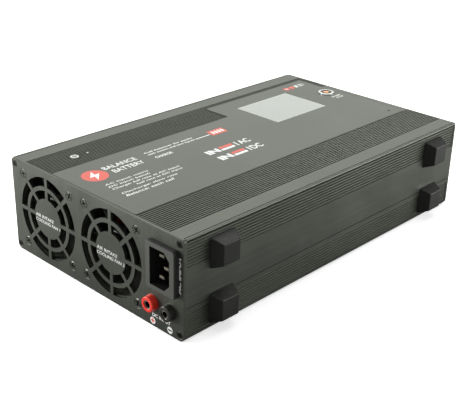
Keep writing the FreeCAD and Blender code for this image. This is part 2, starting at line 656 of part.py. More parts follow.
def fan_rotor(y):
    """The cup that carries the magnet, with its swept blades."""
    cup = rod_x(FAN_ROTOR_FRONT, FAN_ROTOR_BACK, y, FAN_Z, FAN_HUB_R)
    nose = [e for e in cup.Edges if e.BoundBox.XMax < FAN_ROTOR_FRONT + 0.01]
    cup = cup.makeFillet(1.2, nose)
    cup = cup.cut(rod_x(FAN_ROTOR_FRONT + 1.6, FAN_ROTOR_BACK + 1, y, FAN_Z, FAN_HUB_R - 1.4))
    root = blade_section(FAN_HUB_R - 0.7, 14.0, 52.0, 1.2, 1.3)
    middle = blade_section(21.0, 17.5, 42.0, 1.6, 1.2)
    tip = blade_section(FAN_TIP_R + 2.5, 22.0, 33.0, 2.0, 1.1)
    blade = Part.makeLoft([root, middle, tip], True, True)
    blade.translate(V((FAN_ROTOR_FRONT + FAN_ROTOR_BACK) / 2, y, FAN_Z))
    sweep = rod_x(FAN_FRONT, FAN_BACK, y, FAN_Z, FAN_TIP_R)
    blade = blade.common(sweep)
    blades = []
    for i in range(FAN_BLADES):
        turned = blade.copy()
        turned.rotate(V(0, y, FAN_Z), V(1, 0, 0), i * 360.0 / FAN_BLADES)
        blades.append(turned)
    return cup.multiFuse(blades).cut(rod_x(FAN_FRONT, FAN_ROTOR_FRONT + 2, y, FAN_Z, 1.5))


def fan_shaft(y):
    return rod_x(FAN_ROTOR_FRONT, FAN_BACK - 1.6, y, FAN_Z, 1.5)


# ---- mains inlet --------------------------------------------------------------------
def inlet_body_block(x0, x1, gap):
    """The part of the inlet that goes through the plate, grown by a gap."""
    half_y, half_z = INLET_BODY_HALF
    return block((x0, x1), about(INLET_Y, half_y + gap), about(INLET_Z, half_z + gap))


def ac_inlet_body():
    front = INLET_FRONT
    half_y, half_z = INLET_FLANGE_HALF
    flange = block((front, -HALF_L), about(INLET_Y, half_y), about(INLET_Z, half_z))
    flange = flange.makeFillet(INLET_FLANGE_R, edges_along(flange, V(1, 0, 0)))
    flange = flange.makeChamfer(0.5, [e for e in flange.Edges if e.BoundBox.XMax < front + 0.01])
    body = inlet_body_block(-HALF_L, front + INLET_WELL_DEPTH + 3.0, 0.0)
    half_y, half_z = INLET_WELL_WIDTH / 2, INLET_WELL_HEIGHT / 2
    c = INLET_CHAMFER
    well = prism_x([(INLET_Y + half_y, INLET_Z - half_z), (INLET_Y + half_y, INLET_Z + half_z),
                    (INLET_Y - half_y + c, INLET_Z + half_z), (INLET_Y - half_y, INLET_Z + half_z - c),
                    (INLET_Y - half_y, INLET_Z - half_z + c), (INLET_Y - half_y + c, INLET_Z - half_z)],
                   front - 1, front + INLET_WELL_DEPTH)
    clips = []
    clip_x, clip_length, clip_rise, clip_width = -HALF_SHELL + 0.3, 6.7, 1.6, 8.0
    for side in (-1, 1):
        wedge_z = INLET_Z + side * INLET_BODY_HALF[1]
        outline = [(clip_x, wedge_z), (clip_x, wedge_z + side * clip_rise),
                   (clip_x + clip_length, wedge_z)]
        points = [V(x, INLET_Y - clip_width / 2, z) for x, z in outline]
        clips.append(Part.Face(Part.makePolygon(points + points[:1])).extrude(V(0, clip_width, 0)))
    slots = [inlet_blade(y, z, front) for y, z in INLET_PINS]
    return join(flange, body, *clips).cut(well).cut(group(slots))


def inlet_blade(y, z, x0):
    """A flat blade, from x0 back to its rear tab."""
    return block((x0, INLET_PIN_TIP + INLET_PIN_LENGTH), about(y, BLADE_HALF_WIDTH),
                 about(z, BLADE_HALF_THICKNESS))


def ac_inlet_pins():
    """Three flat blades that run through the body to their rear tabs."""
    blades = []
    for y, z in INLET_PINS:
        blade = inlet_blade(y, z, INLET_PIN_TIP)
        nose = [e for e in blade.Edges if e.BoundBox.XMax < INLET_PIN_TIP + 0.01]
        blades.append(blade.makeChamfer(0.6, nose))
    return group(blades)


# ---- round sockets ------------------------------------------------------------------
def socket_shell(outer_x, outward, y, z):
    """The coloured insulator of a 4 mm socket: a proud head, and a neck through the plate."""
    front = outer_x + outward * SOCKET_PROUD
    ends = sorted((outer_x, front))
    radii = [SOCKET_HEAD_R, SOCKET_HEAD_R - SOCKET_DRAFT][::outward]
    head = cone_x(ends[0], ends[1], y, z, *radii)
    rim = [e for e in head.Edges if e.BoundBox.XLength < 0.01 and abs(e.BoundBox.XMin - front) < 0.01]
    head = head.makeFillet(0.5, rim)
    neck_ends = sorted((outer_x, outer_x - outward * 4.0))
    neck = rod_x(neck_ends[0], neck_ends[1], y, z, SOCKET_NECK_R)
    return join(head, neck).cut(rod_x(outer_x - 12, outer_x + 12, y, z, SOCKET_TUBE_R))


def socket_contact(outer_x, outward, y, z):
    """The plated tube and its threaded tail."""
    front = outer_x + outward * (SOCKET_PROUD - 0.5)
    back = front - outward * CONTACT_LENGTH
    floor = front - outward * CONTACT_BORE
    ends = sorted((front, back))
    bore = sorted((front + outward, floor))
    body = rod_x(ends[0], ends[1], y, z, SOCKET_TUBE_R)
    return body.cut(rod_x(bore[0], bore[1], y, z, SOCKET_BORE_R))


def socket_nut(outer_x, outward, y, z):
    """A washer and a hexagon nut on the tail of one socket."""
    washer = sorted((outer_x - outward * 4.2, outer_x - outward * 5.0))
    nut = sorted((outer_x - outward * 5.2, outer_x - outward * 8.2))
    bore = rod_x(outer_x - 14, outer_x + 14, y, z, SOCKET_TUBE_R + 0.05)
    return [rod_x(washer[0], washer[1], y, z, 5.0).cut(bore), hex_x(nut[0], nut[1], y, z, 9.0).cut(bore)]


# ---- output end ---------------------------------------------------------------------
def header_limits(row, pins):
    width = HEADER_PITCH * (pins - 1) + 4.9
    z = HEADER_Z + row * HEADER_ROW_PITCH
    return about(HEADER_Y, width / 2), (z, z + HEADER_HEIGHT)


def header_block(row, pins, x0, x1, gap):
    y, z = header_limits(row, pins)
    return block((x0, x1), (y[0] - gap, y[1] + gap), (z[0] - gap, z[1] + gap))


def balance_headers():
    """Shrouded headers for the cell leads, one for each pack size, in falling width."""
    shrouds = []
    for row, pins in enumerate(HEADER_PINS):
        y, z = header_limits(row, pins)
        shroud = block((BALANCE_BOARD_X + BOARD_THICKNESS, HEADER_FRONT), y, z)
        depth = (HEADER_FRONT - HEADER_WELL, HEADER_FRONT + 1)
        well = block(depth, inset(y, 0.9), inset(z, 0.8))
        keys = [block(depth, about(k, 0.6), (z[1] - 0.9, z[1] + 1)) for k in inset(y, 2.4)]
        shrouds.append(shroud.cut(group([well] + keys)))
    return group(shrouds)


def header_pins():
    pins_made = []
    for row, pins in enumerate(HEADER_PINS):
        z = HEADER_Z + row * HEADER_ROW_PITCH + HEADER_HEIGHT / 2
        for i in range(pins):
            y = HEADER_Y + (i - (pins - 1) / 2) * HEADER_PITCH
            length = (HEADER_FRONT - HEADER_WELL, HEADER_FRONT - 1.0)
            pins_made.append(block(length, about(y, HEADER_PIN_HALF), about(z, HEADER_PIN_HALF)))
    return group(pins_made)


def balance_board():
    """An upright board behind the end plate, stepped round the buzzer and the round sockets."""
    x = (BALANCE_BOARD_X, BALANCE_BOARD_X + BOARD_THICKNESS)
    ports_side = block(x, (-76.0, -44.0), (28.0, 60.0))
    bridge = block(x, (-44.0, 8.0), (28.0, 52.4))
    header_side = block(x, (-34.0, 8.0), (BOARD_TOP + 0.2, 28.0))
    return join(ports_side, bridge, header_side)


def data_ports():
    """A small serial port and a three-way temperature sensor socket."""
    front = HALF_L + 0.3
    back = BALANCE_BOARD_X + BOARD_THICKNESS
    usb = block((back, front), inset(USB_Y, 0.2), inset(USB_Z, 0.2))
    usb = usb.makeFillet(0.8, edges_along(usb, V(1, 0, 0)))
    usb = usb.cut(block((front - 7, front + 1), inset(USB_Y, 0.9), inset(USB_Z, 0.9)))
    tongue = block((front - 7, front - 1), inset(USB_Y, 2.0), about(sum(USB_Z) / 2, 0.35))
    sensor = block((back, front), inset(SENSOR_Y, 0.2), inset(SENSOR_Z, 0.2))
    sensor = sensor.cut(block((front - 6, front + 1), inset(SENSOR_Y, 1.0), inset(SENSOR_Z, 1.0)))
    centre_y, centre_z = sum(SENSOR_Y) / 2, sum(SENSOR_Z) / 2
    pins = [block((front - 6, front - 1), about(centre_y + k, 0.3), about(centre_z, 0.3))
            for k in (-SENSOR_PIN_PITCH, 0, SENSOR_PIN_PITCH)]
    return group([usb.fuse(tongue), sensor] + pins)


# ---- inside -------------------------------------------------------------------------
def drilled_board(x, y, posts):
    board = block(x, y, (BOARD_Z, BOARD_TOP))
    return board.cut(group(rod_z(BOARD_Z - 1, BOARD_TOP + 1, px, py, 1.7) for px, py in posts))


def board_standoffs():
    """Hexagon pillars on the floor of the lower shell, with the screws that hold the boards."""
    pieces = []
    for x, y in POWER_POSTS + CHARGER_POSTS:
        pillar = hex_z(FLOOR_Z, BOARD_Z, x, y, 5.5).cut(rod_z(FLOOR_Z + 1, BOARD_Z + 1, x, y, 1.55))
        shank = rod_z(FLOOR_Z + 1.5, BOARD_TOP + 0.1, x, y, 1.5)
        head = rod_z(BOARD_TOP, BOARD_TOP + 2.0, x, y, 2.8)
        pieces += [pillar, join(shank, head)]
    return group(pieces)


def insulation_sheet():
    sheet = block((POWER_BOARD_X[0], CHARGER_BOARD_X[1]), (-76.0, 76.0), (FLOOR_Z, FLOOR_Z + SHEET))
    return sheet.cut(group(rod_z(0, 5, x, y, 3.6) for x, y in POWER_POSTS + CHARGER_POSTS))


def finned_sink(x, web_y, fin_y, z, fins):
    """An extruded heat sink along X: an upright web with level fins to one side."""
    web = block(x, web_y, z)
    step = (z[1] - z[0] - 2.0) / (fins - 1)
    made = [block(x, fin_y, (z[0] + i * step, z[0] + i * step + 2.0)) for i in range(fins)]
    return join(web, *made)


def power_heatsink():
    fin_y = (POWER_SINK_WEB_Y[1] - 1.0, 76.0)
    sink = finned_sink((-115.0, 14.0), POWER_SINK_WEB_Y, fin_y, (BOARD_TOP + 2.4, CEILING_Z), 8)
    above = CEILING_Z + 1
    return sink.cut(group([rod_z(CEILING_Z - 9, above, CLAMP_X, CLAMP_Y, CLAMP_SHANK_R + 0.05),
                           rod_z(CEILING_Z - 4, above, CLAMP_PIN_X, CLAMP_Y, CLAMP_PIN_R + 0.05)]))


def package(x, y0, y1, z, width, height):
    """A flat transistor body clamped to a wall, with its three leads down to the board."""
    body = block(about(x, width / 2), (y0, y1), (z, z + height))
    lead_y = about((y0 + y1) / 2, 0.35)
    leads = [block(about(x + k, 0.6), lead_y, (BOARD_TOP, z + 0.2)) for k in (-5, 0, 5)]
    return join(body, *leads)


def power_transistors():
    wall_y = POWER_SINK_WEB_Y[0]
    places = [-98.0 + i * 22.0 for i in range(5)]
    return group(package(x, wall_y - 5.0, wall_y, 17.0, 15.6, 20.5) for x in places)


def charger_heatsink():
    """A channel-shaped sink over the charger's transistors, fins along X."""
    x = CHARGER_SINK_X
    base = block(x, (CHARGER_SINK_Y, CHARGER_SINK_Y + CHARGER_SINK_WIDTH), (16.2, 20.2))
    fin_lines = [CHARGER_SINK_Y + i * (CHARGER_SINK_WIDTH - 2.0) / 5 for i in range(6)]
    fins = [block(x, (y, y + 2.0), (20.0, 42.0)) for y in fin_lines]
    legs = [block((end - 2, end + 2), (CHARGER_SINK_Y + 12, CHARGER_SINK_Y + 16), (BOARD_TOP, 16.3))
            for end in (x[0] + 2, x[1] - 2)]
    return join(base, *(fins + legs))


def charger_transistors():
    bodies = []
    for i in range(8):
        x = CHARGER_SINK_X[0] + 12.0 + i * 18.2
        bodies.append(block(about(x, 5.0), (CHARGER_SINK_Y + 2, CHARGER_SINK_Y + 17.5), (11.6, 16.1)))
    return group(bodies)


def ring_core(x, y, outer, inner, height):
    ring = tube_z(BOARD_TOP + 1.5, BOARD_TOP + 1.5 + height, x, y, outer, inner)
    round_edges = [e for e in ring.Edges if e.Curve.TypeId == "Part::GeomCircle"]
    return ring.makeFillet(1.0, round_edges)


def line_choke():
    x, y = -77.5, 22.0
    return group([ring_core(x, y, 14.0, 7.0, 13.0), block_at(x, y, BOARD_TOP, 30.0, 30.0, 1.3)])


def charge_inductors():
    places = [(-65.0 + i * 30.0, -62.0) for i in range(4)] + [(52.0, 24.0)]
    solids = []
    for x, y in places:
        solids += [ring_core(x, y, 11.5, 5.5, 12.0), block_at(x, y, BOARD_TOP, 21.0, 21.0, 1.3)]
    return group(solids)


def capacitor(x, y, radius, height):
    can = rod_z(BOARD_TOP + 0.2, BOARD_TOP + 0.2 + height, x, y, radius)
    rims = [e for e in can.Edges if e.Curve.TypeId == "Part::GeomCircle"]
    can = can.makeFillet(min(1.2, radius / 6), rims)
    ring = Part.makeTorus(radius + 0.35, 0.7, V(x, y, BOARD_TOP + 3.4), V(0, 0, 1))
    return can.cut(ring)


def bulk_capacitors():
    return group(capacitor(x, y, 11.0, 40.0) for x, y in BULK_CAPACITORS)


def filter_capacitors():
    places = [(-95.0 + i * 17.0, -14.5) for i in range(12)] + [(78.0 + i * 14.0, -44.0) for i in range(3)]
    places += [(24.0 + i * 14.0, 46.6) for i in range(3)]
    return group(capacitor(x, y, 5.0, 18.0) for x, y in places)


def transformer_core():
    """Two facing E-shaped cores: a closed frame with a middle leg, lying in an upright plane."""
    z0 = BOARD_TOP + 2.0
    frame = block_at(TRANSFORMER_X, TRANSFORMER_Y, z0, 42.0, 15.0, 32.0)
    windows = [block_at(TRANSFORMER_X + side * 11.75, TRANSFORMER_Y, z0 + 6.0, 8.5, 17.0, 20.0)
               for side in (-1, 1)]
    return frame.cut(group(windows))


def transformer_coil():
    z0 = BOARD_TOP + 8.6
    coil = block_at(TRANSFORMER_X, TRANSFORMER_Y, z0, 31.0, 30.0, 18.8)
    coil = coil.makeFillet(6.0, edges_along(coil, V(0, 0, 1)))
    leg = block_at(TRANSFORMER_X, TRANSFORMER_Y, z0 - 1, 15.4, 15.4, 22.0)
    foot = block_at(TRANSFORMER_X, TRANSFORMER_Y, BOARD_TOP, 40.0, 30.0, 1.8)
    return group([coil.cut(leg), foot])


def mains_fuse():
    """A glass cartridge between two clips."""
    y, z = 43.5, BOARD_TOP + 5.0
    ends = (-87.0, -71.0)
    tube = rod_x(ends[0] + 4.0, ends[1], y, z, 2.5)
    caps = [rod_x(x, x + 4.0, y, z, 2.6) for x in ends]
    clips = [block((x + 0.4, x + 3.6), (y - 3.2, y + 3.2), (BOARD_TOP, z - 2.7)) for x in ends]
    return group([tube] + caps + clips)


# ---- wiring -------------------------------------------------------------------------
def wire(route, radius):
    """A lead along straight runs joined by tangent arcs."""
    points = [V(*p) for p in route]
    edges = []
    last = points[0]
    for before, corner, after in zip(points, points[1:], points[2:]):
        back, on = before.sub(corner), after.sub(corner)
        half_turn = (math.pi - back.getAngle(on)) / 2
        bend = 0.45 * min(back.Length, on.Length) / math.tan(half_turn)
        cut = bend * math.tan(half_turn)
        start = corner.add(back.normalize().multiply(cut))
        end = corner.add(on.normalize().multiply(cut))
        inward = back.add(on).normalize()
        middle = corner.add(inward.multiply(bend / math.cos(half_turn) - bend))
        edges.append(Part.LineSegment(last, start).toShape())
        edges.append(Part.Arc(start, middle, end).toShape())
        last = end
    edges.append(Part.LineSegment(last, points[-1]).toShape())
    path = Part.Wire(edges)
    ring = Part.Wire(Part.makeCircle(radius, points[0], points[1].sub(points[0])))
    return path.makePipeShell([ring], True, True)


def mains_leads():
    """From the three inlet tabs over the charger board to the mains board."""
    leads = []
    start = INLET_PIN_TIP + INLET_PIN_LENGTH
    for i, (y, z) in enumerate(INLET_PINS):
        lane = -105.0 + i * 3.4
        landing = 20.0 + i * 5
        route = [(start, y, z), (start + 8 + i * 1.5, y, z), (lane + 2, y + 16, 50.0 - i * 4),
                 (lane, 2.0 + i * 4, 46.0 - i * 5), (lane, landing, 30.0), (lane, landing, BOARD_TOP)]
        leads.append(wire(route, MAINS_LEAD_R))
    return group(leads)


def dc_leads():
    """Heavy leads from the tails of the four round sockets down to the charger board."""
    leads = []
    tail = HALF_L + SOCKET_PROUD - 0.5 - CONTACT_LENGTH - 0.2
    landings = ((-1, DC_RED, 97.0), (-1, DC_BLACK, 92.0), (1, OUT_RED, 104.0), (1, OUT_BLACK, 99.0))
    for side, (y, z), landing in landings:
        route = [(tail, y, z), (tail - 6, y, z), (landing, y, z - 1), (landing, y, BOARD_TOP)]
        leads.append(wire([(side * x, py, pz) for x, py, pz in route], DC_LEAD_R))
    return group(leads)


# ---- write every piece --------------------------------------------------------------
os.makedirs("parts", exist_ok=True)

export("upper_shell", upper_shell())
export("lower_shell", lower_shell())
export("fan_end_plate", fan_end_plate())
export("output_end_plate", output_end_plate())
export("end_plate_screws", end_plate_screws())
export("rubber_feet", rubber_feet())
export("top_fasteners", top_fasteners())

export("panel_label", panel_label())
export("lcd_window", lcd_window())
export("lcd_glass", lcd_glass())
export("lcd_frame", lcd_frame())
export("control_board", control_board())
export("control_board_posts", control_board_posts())
export("button_bezel", button_bezel())
export("button_nut", button_nut())
export("push_button", push_button())
export("button_lens", button_lens())
export("switch_plunger", switch_plunger())
export("switch_body", switch_body())
export("buzzer", buzzer())

for number, fan_y in enumerate(FAN_Y, start=1):
    export(f"fan_{number}_frame", fan_frame(fan_y))
    export(f"fan_{number}_stator", fan_stator(fan_y))
    export(f"fan_{number}_bearing", fan_bearing(fan_y))
    export(f"fan_{number}_rotor", fan_rotor(fan_y))
    export(f"fan_{number}_shaft", fan_shaft(fan_y))
export("fan_screws", fan_screws())

export("ac_inlet_body", ac_inlet_body())
export("ac_inlet_pins", ac_inlet_pins())

SOCKETS = (("dc_socket_red", -HALF_L, -1, DC_RED), ("dc_socket_black", -HALF_L, -1, DC_BLACK),
           ("output_socket_red", HALF_L, 1, OUT_RED), ("output_socket_black", HALF_L, 1, OUT_BLACK))
contacts = []
nuts = []
for name, face_x, direction, (y, z) in SOCKETS:
    export(name, socket_shell(face_x, direction, y, z))
    contacts.append(socket_contact(face_x, direction, y, z))
    nuts += socket_nut(face_x, direction, y, z)
export("socket_contacts", group(contacts))
export("socket_nuts", group(nuts))

export("balance_board", balance_board())
export("balance_headers", balance_headers())
export("header_pins", header_pins())
export("data_ports", data_ports())

export("power_board", drilled_board(POWER_BOARD_X, POWER_BOARD_Y, POWER_POSTS))
export("charger_board", drilled_board(CHARGER_BOARD_X, CHARGER_BOARD_Y, CHARGER_POSTS))
export("board_standoffs", board_standoffs())
export("insulation_sheet", insulation_sheet())
export("power_heatsink", power_heatsink())
export("power_transistors", power_transistors())
export("line_choke", line_choke())
export("mains_fuse", mains_fuse())
export("bulk_capacitors", bulk_capacitors())
export("transformer_core", transformer_core())
export("transformer_coil", transformer_coil())
export("charger_heatsink", charger_heatsink())
export("charger_transistors", charger_transistors())
export("charge_inductors", charge_inductors())
export("filter_capacitors", filter_capacitors())
export("mains_leads", mains_leads())
export("dc_leads", dc_leads())
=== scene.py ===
import json
import math

import bmesh
import bpy
from mathutils import Matrix, Vector


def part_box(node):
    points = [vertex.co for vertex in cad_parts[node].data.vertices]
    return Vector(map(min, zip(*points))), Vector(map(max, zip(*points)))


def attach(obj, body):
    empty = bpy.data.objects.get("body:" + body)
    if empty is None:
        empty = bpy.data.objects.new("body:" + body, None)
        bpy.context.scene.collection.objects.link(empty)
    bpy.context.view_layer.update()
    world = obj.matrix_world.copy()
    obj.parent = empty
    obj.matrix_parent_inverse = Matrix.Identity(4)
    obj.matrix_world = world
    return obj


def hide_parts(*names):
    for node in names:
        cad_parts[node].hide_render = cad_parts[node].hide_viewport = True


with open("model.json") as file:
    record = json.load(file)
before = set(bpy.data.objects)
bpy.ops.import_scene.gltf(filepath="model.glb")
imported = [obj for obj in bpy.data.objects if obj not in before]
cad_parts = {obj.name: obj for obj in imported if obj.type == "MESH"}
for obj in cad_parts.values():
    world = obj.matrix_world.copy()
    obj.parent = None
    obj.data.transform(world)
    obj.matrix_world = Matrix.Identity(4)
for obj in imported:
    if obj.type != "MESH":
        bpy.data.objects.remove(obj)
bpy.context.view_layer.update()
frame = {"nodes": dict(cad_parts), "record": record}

# Looks of a twin-fan balance charger, built round its CAD model and in the same frame, in metres.
# Sizes written in millimetres are multiplied by MM.

MM = 0.001
NODES = frame["nodes"]
SCENE = bpy.context.scene
UP = (0.0, 0.0, 1.0)

# ---- places taken from the CAD model ---------------------------------------------------
CASE_LOW, CASE_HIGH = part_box("upper_shell")
FAN_FACE_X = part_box("fan_end_plate")[0].x
OUTPUT_FACE_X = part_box("output_end_plate")[1].x
LABEL_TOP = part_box("panel_label")[1].z


def middle_of(node):
    low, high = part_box(node)
    return (low + high) / 2


FAN_CENTRES = [middle_of("fan_1_rotor"), middle_of("fan_2_rotor")]
BUTTON_CENTRE = middle_of("button_bezel")
RED_INPUT, BLACK_INPUT = middle_of("dc_socket_red"), middle_of("dc_socket_black")
RED_OUTPUT, BLACK_OUTPUT = middle_of("output_socket_red"), middle_of("output_socket_black")


def paint(red, green, blue):
    """A colour from 0 to 255 screen values."""
    steps = [value / 255 for value in (red, green, blue)]
    linear = [s / 12.92 if s < 0.04 else ((s + 0.055) / 1.055) ** 2.4 for s in steps]
    return (*linear, 1.0)


# ---- node building ---------------------------------------------------------------------
class Graph:
    """Adds nodes to a shader or geometry tree and joins them."""

    def __init__(self, tree):
        self.tree = tree

    def add(self, kind, inputs=None, **settings):
        node = self.tree.nodes.new(kind)
        for name, value in settings.items():
            setattr(node, name, value)
        for name, value in (inputs or {}).items():
            self.feed(node.inputs[name], value)
        return node

    def feed(self, socket, value):
        if isinstance(value, bpy.types.NodeSocket):
            self.tree.links.new(value, socket)
        else:
            socket.default_value = value

    def made(self, kind, inputs=None, **settings):
        """The first output of a new node."""
        return self.add(kind, inputs, **settings).outputs[0]

    def math(self, operation, first, second=0.0):
        return self.made("ShaderNodeMath", {0: first, 1: second}, operation=operation)

    def times(self, first, second):
        return self.math("MULTIPLY", first, second)

    def xyz(self, x=0.0, y=0.0, z=0.0):
        return self.made("ShaderNodeCombineXYZ", {"X": x, "Y": y, "Z": z})

    def axes(self, vector):
        return self.add("ShaderNodeSeparateXYZ", {"Vector": vector}).outputs

    def upward(self, low, high):
        """1 where a face looks up, and 0 where it doesn't."""
        normal = self.add("ShaderNodeNewGeometry").outputs["Normal"]
        return self.span(self.vector("DOT_PRODUCT", normal, UP), low, high)

    def random(self, kind, inputs):
        node = self.add("FunctionNodeRandomValue", inputs, data_type=kind)
        return [socket for socket in node.outputs if socket.enabled][0]

    def vector(self, operation, first, second=(0.0, 0.0, 0.0)):
        node = self.add("ShaderNodeVectorMath", {0: first, 1: second}, operation=operation)
        return node.outputs["Value" if operation in ("DOT_PRODUCT", "LENGTH") else "Vector"]

    def span(self, value, low, high, to_low=0.0, to_high=1.0):
        """The value moved from one range to another, and held inside it."""
        inputs = {"Value": value, "From Min": low, "From Max": high, "To Min": to_low, "To Max": to_high}
        return self.made("ShaderNodeMapRange", inputs)

    def mix(self, factor, first, second):
        node = self.add("ShaderNodeMix", {0: factor, 6: first, 7: second}, data_type="RGBA")
        return node.outputs[2]

    def noise(self, place, scale, detail=2.0):
        inputs = {"Vector": place, "Scale": scale, "Detail": detail}
        return self.made("ShaderNodeTexNoise", inputs)

    def object_place(self):
        return self.add("ShaderNodeTexCoord").outputs["Object"]

    def bump(self, height, distance, strength=1.0):
        inputs = {"Height": height, "Distance": distance, "Strength": strength}
        return self.add("ShaderNodeBump", inputs).outputs["Normal"]


def new_group(name, kind, inputs, outputs):
    """An empty node group: its graph, its input node and its output node."""
    tree = bpy.data.node_groups.new(name, kind)
    sockets = {float: "NodeSocketFloat", int: "NodeSocketInt", tuple: "NodeSocketVector"}
    for label, value in inputs.items():
        if isinstance(value, str):
            tree.interface.new_socket(label, in_out="INPUT", socket_type=value)
            continue
        socket = tree.interface.new_socket(label, in_out="INPUT", socket_type=sockets[type(value)])
        socket.default_value = value
    for label, socket_type in outputs.items():
        tree.interface.new_socket(label, in_out="OUTPUT", socket_type=socket_type)
    return Graph(tree), tree.nodes.new("NodeGroupInput"), tree.nodes.new("NodeGroupOutput")


# ---- shared surface effects ------------------------------------------------------------
TONE_AND_HEIGHT = {"Tone": "NodeSocketFloat", "Height": "NodeSocketFloat"}


def drawn_lines_group():
    """Fine lines left by drawing, rolling or brushing, with a blasted grain over them."""
    inputs = {"Stretch": (1.0, 1.0, 1.0), "Lines": 1500.0, "Grain": 3500.0, "Clouds": 30.0}
    g, given, result = new_group("drawn_lines", "ShaderNodeTree", inputs, TONE_AND_HEIGHT)
    place = g.object_place()
    drawn = g.vector("MULTIPLY", place, given.outputs["Stretch"])
    lines = g.noise(drawn, given.outputs["Lines"], 3.0)
    grain = g.noise(place, given.outputs["Grain"], 1.0)
    clouds = g.noise(place, given.outputs["Clouds"], 3.0)
    fine = g.math("ADD", g.times(lines, 0.6), g.times(grain, 0.4))
    tone = g.math("ADD", g.times(fine, 0.55), g.times(clouds, 0.45))
    g.feed(result.inputs["Tone"], g.span(tone, 0.3, 0.7))
    g.feed(result.inputs["Height"], fine)
    return g.tree


def moulded_grain_group():
    """The spark-eroded grain of moulded plastic and rubber, with soft flow marks."""
    inputs = {"Grain": 2500.0, "Flow": 60.0}
    g, given, result = new_group("moulded_grain", "ShaderNodeTree", inputs, TONE_AND_HEIGHT)
    place = g.object_place()
    cells = g.add("ShaderNodeTexVoronoi", {"Vector": place, "Scale": given.outputs["Grain"]},
                  feature="SMOOTH_F1").outputs["Distance"]
    fine = g.noise(place, given.outputs["Grain"], 2.0)
    flow = g.noise(place, given.outputs["Flow"], 3.0)
    g.feed(result.inputs["Height"], g.times(cells, fine))
    tone = g.math("ADD", g.times(fine, 0.4), g.times(flow, 0.6))
    g.feed(result.inputs["Tone"], g.span(tone, 0.3, 0.7))
    return g.tree


def turned_marks_group():
    """Rings left by a lathe round an axis through Centre; Across is 0 along the axis."""
    inputs = {"Centre": (0.0, 0.0, 0.0), "Across": (1.0, 1.0, 0.0), "Rings": 9000.0}
    g, given, result = new_group("turned_marks", "ShaderNodeTree", inputs, TONE_AND_HEIGHT)
    place = g.object_place()
    arm = g.vector("SUBTRACT", place, given.outputs["Centre"])
    radius = g.vector("LENGTH", g.vector("MULTIPLY", arm, given.outputs["Across"]))
    wave = g.math("SINE", g.times(radius, given.outputs["Rings"]))
    scuff = g.noise(place, 900.0, 3.0)
    marks = g.math("ADD", g.times(wave, 0.25), scuff)
    g.feed(result.inputs["Height"], marks)
    g.feed(result.inputs["Tone"], g.span(marks, 0.1, 0.9))
    return g.tree


def edge_wear_group():
    """A broken line along sharp edges: wear where the finish is rubbed thin, and a painted highlight where
    the edges catch the light.
    """
    inputs = {"Width": 0.0003, "Amount": 1.0}
    g, given, result = new_group("edge_wear_and_highlight", "ShaderNodeTree", inputs, {"Edge": "NodeSocketFloat"})
    rounded = g.add("ShaderNodeBevel", {"Radius": given.outputs["Width"]}, samples=4).outputs["Normal"]
    flat = g.add("ShaderNodeNewGeometry").outputs["Normal"]
    turn = g.math("SUBTRACT", 1.0, g.vector("DOT_PRODUCT", rounded, flat))
    edge = g.span(turn, 0.02, 0.22)
    patches = g.span(g.noise(g.object_place(), 260.0, 3.0), 0.35, 0.6, 0.45, 1.0)
    worn_and_highlit = g.times(edge, patches)
    g.feed(result.inputs["Edge"], g.times(worn_and_highlit, given.outputs["Amount"]))
    return g.tree


def groove_depth_group():
    """How far a point lies under the case's flat faces, or under its long sides, but not on its edges."""
    inputs = {"Low": (0.0, 0.0, 0.0), "High": (0.0, 0.0, 0.0), "Lower edge": 0.0, "Upper edge": 0.0}
    outputs = {"Flat": "NodeSocketFloat", "Side": "NodeSocketFloat"}
    g, given, result = new_group("groove_depth", "ShaderNodeTree", inputs, outputs)
    place = g.object_place()
    low = g.axes(g.vector("SUBTRACT", place, given.outputs["Low"]))
    high = g.axes(g.vector("SUBTRACT", given.outputs["High"], place))
    side = g.math("MINIMUM", low["Y"], high["Y"])
    level = g.math("MINIMUM", low["Z"], high["Z"])
    beyond = 1.0
    for reach, across in (("Lower edge", low["Z"]), ("Upper edge", high["Z"])):
        past = g.math("GREATER_THAN", g.math("MAXIMUM", side, across), given.outputs[reach])
        beyond = g.times(past, beyond)
    by_side = g.times(g.math("GREATER_THAN", level, side), beyond)
    g.feed(result.inputs["Side"], g.times(side, by_side))
    by_level = g.math("SUBTRACT", beyond, by_side)
    g.feed(result.inputs["Flat"], g.times(level, by_level))
    return g.tree


def fine_dust_group():
    """Specks and a faint film that lighten faces that look up: dust, and on the feet also a painted top
    light.
    """
    inputs = {"Amount": 0.2, "Specks": 700.0}
    g, given, result = new_group("dust_and_top_light", "ShaderNodeTree", inputs, {"Dust_and_light": "NodeSocketFloat"})
    place = g.object_place()
    specks = g.span(g.noise(place, given.outputs["Specks"], 1.0), 0.62, 0.74)
    film = g.span(g.noise(place, 22.0, 4.0), 0.4, 0.75, 0.0, 0.35)
    settled_and_top_lit = g.times(g.upward(0.4, 0.9), g.math("MAXIMUM", specks, film))
    g.feed(result.inputs["Dust_and_light"], g.times(settled_and_top_lit, given.outputs["Amount"]))
    return g.tree


DRAWN_LINES = drawn_lines_group()
MOULDED_GRAIN = moulded_grain_group()
TURNED_MARKS = turned_marks_group()
EDGE_WEAR_AND_HIGHLIGHT = edge_wear_group()
GROOVE_DEPTH = groove_depth_group()
DUST_AND_TOP_LIGHT = fine_dust_group()


